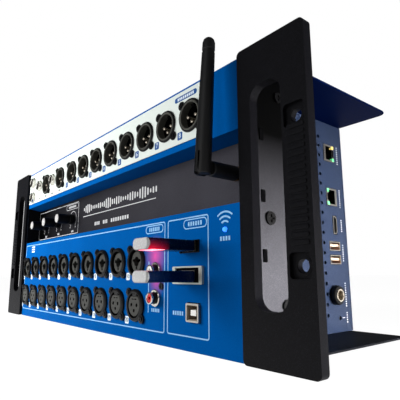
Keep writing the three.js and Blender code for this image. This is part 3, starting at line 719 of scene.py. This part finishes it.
def combo_socket(number):
    """A combined socket: a quarter-inch bore through an insert with three pin holes."""
    piece, node, x, z = round_socket("combo_input", number, PANEL, BEZEL_BLACK, 19, 6)
    pins = pin_holes(x, z, 1.25, 9, ((-4.4, 0.9), (4.4, 0.9), (0, -4.7)))
    insert = lathe([(0, 2.6), (7.3, 2.6), (7.9, 3.0), (7.9, 7), (0, 7)], x, z)
    piece.take(carved(insert, rod(x, z, 3.7, (0, 9)), *pins), INSERT, bevel=0.15)
    piece.take(lathe([(7.9, 5.2), (9.3, 5.2), (9.3, 6.2), (7.9, 6.2)], x, z, ring=True), HOLLOW_BLACK_AND_SHADE)
    piece.done("chassis", "black_plastic", node)


def female_socket(number):
    """A female input socket: a raised insert with three pin holes, a key slot and a latch."""
    piece, node, x, z = round_socket("xlr_input", number, PANEL, BEZEL_BLACK, 12, 6)
    pins = pin_holes(x, z, 1.35, 11, ((-3.7, 0.2), (3.7, 0.2), (0, -3.9)))
    marks = [plate([about(x + dx, z + 4.4, 2.6, 0.8)], (0, 3)) for dx in (-1.9, 1.9)]
    crown = plate([about(x, z + 9.6, 20, 6.6)], (-1, 4))
    insert = lathe([(0, 1.1), (7.7, 1.1), (8.2, 1.6), (8.2, 12.5), (0, 12.5)], x, z)
    piece.take(carved(insert, crown, *pins, *marks), INSERT, bevel=0.15)
    piece.take(plate([around(x, z + 8.0, 6.4, 2.6, 0.8)], (1.2, 5)), BEZEL_BLACK, bevel=0.4)
    piece.done("chassis", "black_plastic", node)


def output_jacks():
    jacks = Piece("output_jacks")
    nut = [(6.8, STRIP), (6.8, 1.2), (6.3, 0.8), (5.9, 0.8), (5.9, -0.9), (5.3, -1.4), (4.2, -1.4),
           (3.6, -0.9), (3.6, STRIP + 3), (5.0, STRIP + 3), (5.0, STRIP)]
    for x, z in OUTPUT_JACKS:
        jacks.take(lathe(nut, x, z, ring=True), CHROME)
        jacks.take(lathe([(3.6, 2.5), (4.9, 2.5), (4.9, 26), (0, 26), (0, 20), (3.6, 20)], x, z), HOLLOW_BLACK_AND_SHADE)
    jacks.take(block((-182, -102), (26, 27.4), (138, 171)), CIRCUIT, bevel=0.1)
    jacks.done("chassis", "steel", "output_jack_module")


def line_inputs():
    rca = Piece("line_input_sockets")
    low = span("rca_module")[0]
    x = centre("rca_module").x
    washer = [(4.3, PANEL), (6.0, PANEL), (6.0, 1.5), (5.5, 1.0), (4.3, 1.0)]
    tip = [(2.9, low.y + 0.6), (3.3, low.y), (4.0, low.y + 0.1), (4.2, low.y + 0.5), (4.2, low.y + 1.1),
           (2.9, low.y + 1.1)]
    barrel = [(3.0, low.y + 1), (4.0, low.y + 1), (4.0, PANEL + 4), (0, PANEL + 4), (0, PANEL), (3.0, PANEL)]
    core = [(1.3, low.y + 0.5), (3.0, low.y + 0.5), (3.0, PANEL + 1), (1.3, PANEL + 1)]
    for z, insulator in zip(LINE_INPUTS_Z, (RED_PLASTIC, WHITE_PLASTIC)):
        rca.take(lathe(washer, x, z, 32, ring=True), CHROME)
        rca.take(lathe(tip, x, z, 32, ring=True), CHROME)
        rca.take(lathe(barrel, x, z, 32), BEZEL_BLACK)
        rca.take(lathe(core, x, z, 32, ring=True), insulator)
    add_screw(rca, x + 7, 39.3, PANEL, 2.4, DARK_SCREW)
    rca.take(block((x - 5.5, x + 5.5), (8.5, 16), (23.6, 57.6)), BEZEL_BLACK, bevel=0.4)
    rca.done("chassis", "red_plastic", "rca_module")


def computer_socket():
    usb_b = Piece("computer_usb_socket")
    low, high = span("usb_b_socket")
    x, _, z = (low + high) / 2
    outline = around(x, z, high.x - low.x, high.z - low.z, 0.9)
    usb_b.take(plate([outline, around(x, z, 10.4, 9.2, 0.8)], (low.y, high.y)), SHELL, bevel=0.2)
    usb_b.take(block((x - 5.3, x + 5.3), (11, 12), (z - 4.7, z + 4.7)), BEIGE)
    usb_b.take(plate([around(x, z, 10.4, 9.2, 0.8), around(x, z, 9.4, 8.2, 0.6)], (1.8, 11)), BEIGE)
    usb_b.take(block((x - 2.8, x + 2.8), (2.2, 11.5), (z - 1.9, z + 1.7)), WHITE_PLASTIC, bevel=0.3)
    usb_b.done("chassis", "steel", "usb_b_socket")


def media_sockets():
    """Two sockets: the lower one in a pale frame, and the upper one flush in the blue front."""
    media = Piece("media_usb_sockets")
    low, high = span("usb_media_sockets")
    x = (low.x + high.x) / 2
    lower, upper = MEDIA_Z
    frame_loops = [around(x, lower, 30.6, 11.3, 0.8), about(x, lower, 24.4, 9.4)]
    media.take(plate(frame_loops, (0.9, PANEL)), SATIN_FRAME, bevel=0.25)
    mouth = about(x + 1.1, upper, 20.4, 8.0)
    media.take(plate([about(x, upper, 26.4, 10.0), mouth], (PANEL - 0.12, PANEL + 0.4)), BLUE)
    media.take(plate([mouth, about(x + 1.1, upper, 19.4, 7.3)], (1.9, PANEL + 0.6)), BEZEL_BLACK)
    for z, front in ((lower, 2.05), (upper, PANEL + 0.5)):
        media.take(plate([about(x, z, 24.8, 9.0), about(x, z, 12.8, 5.3)], (front, 17.8)), HOLLOW_BLACK_AND_SHADE)
        media.take(plate([about(x, z, 13.6, 6.1), about(x, z, 12.7, 5.2)], (2.0, 16)), SHELL, bevel=0.1)
    media.take(block((x - 16, x + 16), (17.8, 19.4), (low.z, high.z)), CIRCUIT, bevel=0.1)
    media.done("chassis", "steel", "usb_media_sockets")


def wireless_lamp():
    led = Piece("wireless_lamp")
    place = centre("status_led")
    dome = [(0, 1.2), (0.7, 1.35), (1.2, 1.75), (1.5, 2.4), (1.5, 8), (0, 8)]
    led.take(lathe(dome, place.x, place.z, 24), BLUE_LENS)
    led.done("chassis", "led_lens", "status_led")


# ------------------------------------------------------------------ knobs, antenna and memory sticks
def level_knob(number):
    """A slim push-on knob with a fluted grip, a groove and a bright face with its pointer."""
    node = f"level_knob_{number}"
    low, high = span(node)
    x, z, radius = (low.x + high.x) / 2, (low.z + high.z) / 2, (high.x - low.x) / 2
    knob = Piece(node + "_cap")
    grip = [(0, low.y + 0.4), (radius - 1.0, low.y + 0.4), (radius - 0.5, low.y + 0.9), (radius - 0.3, 9.9),
            (radius - 0.6, 10.5), (0, 10.5)]
    skirt = [(0, 11.4), (radius - 0.3, 11.4), (radius, 11.8), (radius, high.y - 0.3),
             (radius - 0.3, high.y), (0, high.y)]
    face = [(0, low.y + 0.02), (radius - 1.4, low.y + 0.02), (radius - 1.05, low.y + 0.5), (0, low.y + 0.5)]
    knob.take(lathe(grip, x, z, 96, flutes=(24, 0.012)), KNOB_BLACK)
    knob.take(rod(x, z, radius - 1, (10.2, 11.6)), KNOB_BLACK)
    knob.take(lathe(skirt, x, z), KNOB_BLACK)
    knob.take(lathe(face, x, z), KNOB_FACE)
    knob.take(plate([about(x, z + radius - 2.4, 0.6, 2.2)], (low.y, low.y + 0.2)), BLACK_INK)
    knob.done(node, "black_plastic", node)


def antenna():
    """A hinged whip: a turning collar on a gold threaded socket, and a rod that folds at the knuckle."""
    jack = Piece("antenna_socket")
    x, _, z = centre("sma_jack")
    jack.take(plate([circle(x, z, 4.9, 6), circle(x, z, 3.0, 24)], (14.9, 16.1)), GOLD, bevel=0.2)
    thread = [(3.0 if i % 2 else 2.7, 6.0 + i * 0.35) for i in range(52)]
    jack.take(lathe([(0, 6.0), *thread, (0, 6.0 + 51 * 0.35)], x, z, 24), GOLD)
    jack.done("chassis", "gold", "sma_jack")

    hinge_y = -12.0
    collar = Piece("antenna_collar")
    sleeve = [(0, -5.9), (3.6, -5.9), (4.4, -5.6), (4.75, -4.9), (4.75, 13.8), (4.2, 14.5), (3.3, 14.5),
              (3.3, 4.6), (0, 4.6)]
    collar.take(lathe(sleeve, x, z), RUBBER)
    grip = [(4.75, 6.0), (4.62, 6.3), (4.62, 6.6), (4.75, 6.9)]
    collar.take(lathe([*grip, (4.4, 6.9), (4.4, 6.0)], x, z, ring=True), RUBBER)
    collar.done("antenna_base", "black_plastic", "antenna_base")
    tongue = Piece("antenna_tongue", RIGHT)
    profile = [*arc(hinge_y, z, 4.4, 90, 270, 16), (-5.4, z - 3.8), (-5.4, z + 3.8)]
    tongue.take(plate([profile, circle(hinge_y, z, 1.8, 24)], (-x - 1.9, -x + 1.9)), RUBBER, bevel=0.3)
    tongue.done("antenna_base", "black_plastic")

    lean = Matrix.Rotation(math.radians(-4), 4, "X")
    hinge = Matrix.Translation((x, hinge_y, z))
    whip = Piece("antenna_whip", hinge @ lean @ UPRIGHT)
    length, thick, thin, heel = 85.0, 5.0, 4.1, -4.6
    profile = [(0, heel), (thick - 1.1, heel), (thick - 0.3, heel + 0.4), (thick, heel + 1.2), (thick, 14),
               (thin, length - 10.5), (thin - 0.35, length - 10.2), (thin - 0.35, length - 8.6),
               (thin, length - 8.3), (thin - 0.1, length - 3.5), (thin - 0.7, length - 1.5),
               (thin - 1.7, length - 0.4), (0, length)]
    gap = plate([rounded((-2.1, 2.1), (-9, 4.9), 0.4)], (-9, 9))
    whip.take(carved(lathe(profile), gap), RUBBER)
    whip.facing = hinge @ lean @ RIGHT
    whip.take(rod(0, 0, 1.5, (-4.6, 4.6), 24), DARK_SCREW, bevel=0.2)
    whip.done("antenna_rod", "black_plastic", "antenna_rod")


def lit_from_the_end(front, low_z, high_z):
    """The lit stick's body: red light inside it fades towards the back and the top."""
    material = surface("stick_red_glow", (1, 16, 46), 0.25, grain=1.2, relief=0.001, mottle=0.15,
                       shine=0.12, glow=((255, 8, 44), 1.0))
    tree = material.node_tree
    tip = front + EAR_FACE / MM
    endways = along(tree, "Y", tip + 16, tip + 4)
    upward = along(tree, "Z", high_z + 1.5, low_z)
    level = combined(tree, "MULTIPLY", endways, combined(tree, "POWER", upward, 3.2))
    fill(tree, tree.nodes["Principled BSDF"], {"Emission Strength": level})
    return material


def memory_stick(node, plug_z, lit):
    """A memory stick: a glossy body, a pearl end cap, a plug, and a lamp under its end if it is lit."""
    low, high = span(node)
    x, z = (low.x + high.x) / 2, (low.z + high.z) / 2
    half, tall = (high.x - low.x) / 2, (high.z - low.z) / 2
    cap_back, body_back = low.y + 0.9, 0.9
    stick = Piece(node + "_stick")
    cap = around(x, z, 2 * half, 2 * tall, 3.0, 8)
    stick.take(plate([cap], (low.y, cap_back + 1.6)), STICK_WHITE, bevel=1.2, segments=5)
    body = around(x, z, 2 * half - 0.3, 2 * tall - 0.3, 1.6)
    side = lit_from_the_end(low.y, low.z, high.z) if lit else STICK_NAVY
    stick.take(plate([body], (cap_back + 0.4, body_back)), side, bevel=0.3)
    if lit:
        lamp = block((x - half + 2, x + half - 1.2), (cap_back + 2.4, low.y + 13), (low.z, low.z + 0.6))
        stick.take(lamp, LENS_PINK, bevel=0.2)
    collar = around(x, z, 2 * half - 1.6, 2 * tall - 1.6, 1.2)
    stick.take(plate([collar], (body_back - 0.3, 1.65)), SHELL, bevel=0.15)
    plug = [about(x, plug_z, 12, 4.5), about(x, plug_z, 11.2, 3.7)]
    stick.take(plate(plug, (1.2, high.y)), SHELL, bevel=0.1)
    stick.take(block((x - 5.6, x + 5.6), (1.2, high.y - 0.6), (plug_z - 1.9, plug_z + 0.1)), BEZEL_BLACK)
    stick.done(node, "navy_plastic", node)


# ------------------------------------------------------------------ side connectors
def network_port(ports, y, z, latch):
    """A modular network socket on its side, with its latch notch on one edge."""
    mouth = [(-4.6, -5.9), (4.6, -5.9), (4.6, 5.9), (-4.6, 5.9)]
    face = -WALL_X - 0.5
    hole = [(y + a, z + b) for a, b in mouth]
    ports.take(plate([about(y, z, 14.4, 14.4), hole], (face, face + 14)), SHELL, bevel=0.25)
    ports.take(block((y - 5, y + 5), (face + 12, face + 13), (z - 6.2, z + 6.2)), HOLLOW_BLACK_AND_SHADE)
    ports.take(plate([hole, about(y, z, 8.6, 11.2)], (face + 0.4, face + 12)), HOLLOW_BLACK_AND_SHADE)
    # The latch notch is a thin dark plate on the face: painted shade.
    ports.take(plate([about(y + latch * 5.7, z, 1.8, 6.0)], (face - 0.03, face + 0.3)), HOLLOW_BLACK_AND_SHADE)
    for i in range(8):
        contact = about(y - latch * 3.6, z - 3.7 + i * 1.02, 1.2, 0.4)
        ports.take(plate([contact], (face + 2, face + 11)), GOLD)


def side_connectors():
    ports = Piece("side_ports", RIGHT)
    face = -WALL_X - 0.4
    lamps = (((5.4, YELLOW_LENS), (-5.4, GREEN_LENS)), ((5.4, GREEN_LENS), (-5.4, GREEN_LENS)))
    for (y, z), latch, pair in zip(NETWORK_PORTS, (1, -1), lamps):
        network_port(ports, y, z, latch)
        for up, lens in pair:
            lamp = around(y + latch * 5.4, z + up, 2.8, 2.6, 0.4)
            ports.take(plate([lamp], (face - 0.35, face + 2)), lens, bevel=0.2)
    y, z = VIDEO_PORT
    hdmi = [(y - 2.3, z - 7.4), (y + 1.0, z - 7.4), (y + 2.7, z - 5.6), (y + 2.7, z + 5.6),
            (y + 1.0, z + 7.4), (y - 2.3, z + 7.4)]
    inner = [(y + 0.78 * (a - y), z + 0.9 * (b - z)) for a, b in hdmi]
    ports.take(plate([hdmi, inner], (face, face + 11)), SHELL, bevel=0.12)
    ports.take(plate([hdmi], (face + 10, face + 11.5)), HOLLOW_BLACK_AND_SHADE)
    ports.take(plate([about(y, z, 1.4, 11)], (face + 1.2, face + 10.5)), BEZEL_BLACK, bevel=0.15)
    for z in SIDE_USB_Z:
        mouth = around(SIDE_USB_Y, z, 13.4, 6.0, 0.4)
        shell = [around(SIDE_USB_Y, z, 14.6, 7.2, 0.5), mouth]
        ports.take(plate(shell, (face, face + 12)), SHELL, bevel=0.15)
        ports.take(plate([mouth], (face + 8, face + 9)), BROWN)
        tongue = about(SIDE_USB_Y, z + 0.5, 11.4, 2.0)
        ports.take(plate([tongue], (face + 0.8, face + 8.5)), TONGUE, bevel=0.2)
    y, z = PEDAL_JACK
    nut = -WALL_X - 5.0
    collar = [(7.6, -WALL_X - 0.2), (7.6, nut + 1.6), (7.0, nut + 0.7), (6.0, nut + 0.5), (5.0, nut + 0.5),
              (5.0, -WALL_X - 0.2)]
    lining = [(5.05, nut + 3), (5.05, nut + 0.3), (4.7, nut), (4.0, nut), (3.6, nut + 0.4), (3.6, nut + 20),
              (5.05, nut + 20)]
    ports.take(lathe(collar, y, z, ring=True, sides=72, flutes=(24, 0.01)), BEZEL_BLACK)
    ports.take(lathe(lining, y, z, ring=True), PIN)
    ports.take(rod(y, z, 3.7, (nut + 14, nut + 21), 24), HOLLOW_BLACK_AND_SHADE)
    ports.take(block((120, 150), (18.4 - WALL_X, 20 - WALL_X), (20, 160)), CIRCUIT, bevel=0.1)
    ports.done("chassis", "steel", "side_port_module")


def reset_plunger():
    low, high = span("reset_button")
    button = Piece("reset_plunger", RIGHT)
    profile = [(0, -high.x), (0.9, -high.x), (1.2, -high.x + 0.4), (1.2, 4.4 - high.x), (2.4, 4.4 - high.x),
               (2.4, -low.x), (0, -low.x)]
    button.take(lathe(profile, (low.y + high.y) / 2, (low.z + high.z) / 2, 24), BEZEL_BLACK)
    button.done("reset_button", "black_plastic", "reset_button")


def mains_inlet():
    """A three-blade inlet on the left wall, with the well of the rocker switch above it."""
    low, high = span("power_inlet")
    y, z, face = -(low.y + high.y) / 2, (low.z + high.z) / 2, low.x
    inlet = Piece("mains_inlet", LEFT)
    mouth_z, rocker_z = 30.25, 62.0
    mouth = [(y - 12, mouth_z - 8.2), (y + 12, mouth_z - 8.2), (y + 12, mouth_z + 3.4),
             (y + 7.2, mouth_z + 8.2), (y - 7.2, mouth_z + 8.2), (y - 12, mouth_z + 3.4)]
    well = around(y, rocker_z, 22, 16, 1.0)
    flange = around(y, z, high.y - low.y, high.z - low.z, 2.5)
    inlet.take(plate([flange, mouth, well], (face, face + 1.9)), BEZEL_BLACK, bevel=0.35)
    rim = [(y + (a - y) * 1.08, mouth_z + (b - mouth_z) * 1.1) for a, b in mouth]
    inlet.take(plate([rim, mouth], (face + 1.5, face + 17)), BEZEL_BLACK)
    inlet.take(plate([rim], (face + 16.5, face + 18)), HOLLOW_BLACK_AND_SHADE)
    inlet.take(plate([around(y, rocker_z, 24, 18, 1.4), well], (face + 1.5, face + 14)), HOLLOW_BLACK_AND_SHADE)
    for dy, dz in ((-7, -1.7), (7, -1.7), (0, 2.3)):
        blade = plate([about(y + dy, mouth_z + dz, 2, 4)], (face + 2.5, face + 17))
        inlet.take(blade, CHROME, bevel=0.3)
    inlet.done("chassis", "black_plastic", "power_inlet")


def power_rocker():
    """The switch's cap, which is hollowed from top to bottom and marked for on and off."""
    rocker = Piece("power_rocker_cap", LEFT)
    low, high = span("power_rocker")
    y, z = -(low.y + high.y) / 2, (low.z + high.z) / 2
    width = (high.y - low.y) / 2
    tall = (high.z - low.z) / 2 - 0.3
    steps = [i / 8 - 1 for i in range(17)]
    outline = [(low.x + 0.5 + 1.1 * step * step, z + tall * step) for step in steps]
    outline += [(low.x + 7, z + tall), (low.x + 7, z - tall)]
    ends = [[(y + way * width, *point) for point in outline] for way in (-1, 1)]
    rocker.take(loft(ends), KNOB_BLACK, bevel=0.4)
    depths = (low.x + 0.55, low.x + 1.4)
    rocker.take(plate([about(y, z + 3.6, 0.9, 3.2)], depths), PURE_INK)
    rocker.take(plate([circle(y, z - 3.6, 1.7, 24), circle(y, z - 3.6, 1.1, 24)], depths), PURE_INK)
    rocker.done("power_rocker", "black_plastic", "power_rocker")


# ------------------------------------------------------------------ printing
def add_print(piece, loop, face, material, hole=None):
    piece.take(plate([loop, hole] if hole else [loop], (face - INK, face + 0.1)), material)


def add_line_box(piece, x, z, radius, width, face, material):
    """A printed line round a rectangle."""
    inner = rounded((x[0] + width, x[1] - width), (z[0] + width, z[1] - width), max(radius - width, 0.2))
    add_print(piece, rounded(x, z, radius), face, material, inner)


def add_words(piece, x, z, width, height, count, face, material):
    """A short printed word, as plain bars."""
    pitch = width / count
    for i in range(count):
        middle = x - width / 2 + (i + 0.5) * pitch
        piece.take(plate([about(middle, z, pitch * 0.62, height)], (face - INK * 1.5, face + 0.1)), material)


def add_tag(piece, value, x, z, face, ground, ink):
    """A numbered tag."""
    add_print(piece, around(x, z, 5.5, 5.6, 1.0), face, ground)
    piece.take(digits(value, x, z, 3.6 if value < 10 else 3.2, (face - 2 * INK, face)), ink)


def front_printing():
    lines = Piece("front_lines")
    add_line_box(lines, *INPUT_FRAME, 2.0, 0.8, PANEL, WHITE_INK)
    add_line_box(lines, *MEDIA_FRAME, 2.0, 0.8, PANEL, WHITE_INK)
    for x, z, width, height in ((102.5, 79.8, 23, 6.0), (149.5, 79.5, 24, 6.5)):
        sides, ends = (x - width / 2, x + width / 2), (z - height / 2, z + height / 2)
        add_line_box(lines, sides, ends, height / 2 - 0.1, 0.7, PANEL, WHITE_INK)
        add_words(lines, x, z, width - 9, 2.8, 6, PANEL, WHITE_INK)
    add_words(lines, 105.2, 22.7, 10.5, 2.4, 5, PANEL, WHITE_INK)
    add_words(lines, 131.8, 22.5, 12.0, 2.6, 5, PANEL, WHITE_INK)
    add_print(lines, about(96, 38.7, 0.8, 36), PANEL, WHITE_INK)
    for i in range(3):
        add_print(lines, around(-163.4, 76.0 + i * 2.7, 10.5, 1.7, 0.8), PANEL, PURE_INK)
    lamp = centre("status_led")
    for radius in (4.4, 7.2, 10.0):
        wave = sector(lamp.x, lamp.z + 0.6, radius - 0.55, radius + 0.55, 50, 130)
        add_print(lines, wave, PANEL, WHITE_INK)
    add_words(lines, lamp.x, 67.8, 9.5, 2.6, 4, PANEL, WHITE_INK)
    lines.done("chassis", "label_print")

    tags = Piece("input_tags")
    for number in range(1, 11):
        combo, female = centre(f"combo_input_{number}"), centre(f"xlr_input_{number}")
        add_tag(tags, number, combo.x - 12.3, combo.z - 11.2, PANEL, PURE_INK, BLACK_INK)
        add_tag(tags, number + 10, female.x - 12.6, female.z - 11.5, PANEL, PURE_INK, BLACK_INK)
    tags.done("chassis", "label_print")


def strip_printing():
    marks = Piece("output_tags")
    for number in range(1, 9):
        place = centre(f"output_xlr_{number + 2}")
        add_tag(marks, number, place.x - 11.6, place.z - 11.8, STRIP, BLUE_INK, PURE_INK)
    add_print(marks, around(140.5, 169.6, 25, 3.8, 1.7), STRIP, BLUE_INK)
    add_words(marks, 140.5, 169.6, 19, 2.0, 9, STRIP, PURE_INK)
    add_print(marks, about(-72, 155.4, 0.4, 37), STRIP, BLUE_INK)
    for x in (-152, -130.3, -109.5, -87.3):
        add_words(marks, x, 139.8, 5.5, 1.6, 3, STRIP, BLACK_INK)
    marks.done("chassis", "label_print")


def fascia_printing():
    marks = Piece("fascia_marks")
    add_line_box(marks, *LEVELS_FRAME, 2.0, 0.6, FASCIA, PALE_INK)
    add_line_box(marks, *LEVELS_LABEL, 2.6, 0.5, FASCIA, PALE_INK)
    add_words(marks, -84, 122.2, 20, 2.4, 8, FASCIA, PALE_INK)
    for number in (1, 2, 3):
        place = centre(f"level_knob_{number}")
        add_print(marks, sector(place.x, place.z, 8.8, 9.3, -50, 230, 32), FASCIA, PALE_INK)
        for angle in (-50, 230):
            turn = math.radians(angle)
            dot = circle(place.x + 11 * math.cos(turn), place.z + 11 * math.sin(turn), 0.7, 16)
            add_print(marks, dot, FASCIA, PALE_INK)
        add_words(marks, place.x, 94.8, 6.0, 2.0, 3, FASCIA, PALE_INK)
    for i in range(34):
        height = 3.2 + 7.2 * abs(math.sin(i * 0.61) * math.cos(i * 0.23))
        add_print(marks, around(-52 + i * 4.1, 115.0, 2.0, height, 0.9), FASCIA, PALE_INK)
    add_print(marks, about(14.2, 107.6, 137.6, 0.7), FASCIA, PALE_INK)
    for x, width in ((-21, 12), (-4, 10), (24, 34)):
        add_words(marks, x, 97.6, width, 3.4, max(3, round(width / 4)), FASCIA, PALE_INK)
    marks.done("chassis", "label_print")


def side_printing():
    """Columns of short bars beside the connectors, where the unit has small words."""
    marks = Piece("side_marks", RIGHT)
    pitch = 1.8
    middles = (*[z for _, z in NETWORK_PORTS], VIDEO_PORT[1], 64, PEDAL_JACK[1], RESET_HOLE[1])
    for z, height in zip(middles, (17, 17, 11, 14, 20, 9)):
        for i in range(round(height / pitch)):
            bar = about(149.6, z - height / 2 + (i + 0.5) * pitch, 1.5, 1.0)
            add_print(marks, bar, -WALL_X, PALE_INK)
    add_print(marks, about(144.6, RESET_HOLE[1], 3.4, 0.5), -WALL_X, PALE_INK)
    marks.done("chassis", "label_print")


def cover_screws():
    """Rows of pan-head screws that hold the top cover."""
    top_low, top_high = span("top_cover")
    top = Piece("top_screws", TOP)
    for x in (-186, -93, 0, 93, 186):
        for y in (top_low.y + 30, top_high.y - 12):
            add_screw(top, x, y, -top_high.z, 2.6, DARK_SCREW, 0.5)
    top.done("chassis", "black_plastic")


bpy.context.scene.view_settings.view_transform = "Standard"
add_camera()
add_world()
add_floor()
add_lights()
chassis()
for index in range(1, 11):
    output_socket(index)
    combo_socket(index)
    female_socket(index)
output_jacks()
line_inputs()
computer_socket()
media_sockets()
wireless_lamp()
for index in (1, 2, 3):
    level_knob(index)
antenna()
memory_stick("usb_drive_lower", MEDIA_Z[0], lit=False)
memory_stick("usb_drive_upper", MEDIA_Z[1], lit=True)
side_connectors()
reset_plunger()
mains_inlet()
power_rocker()
front_printing()
strip_printing()
fascia_printing()
side_printing()
cover_screws()
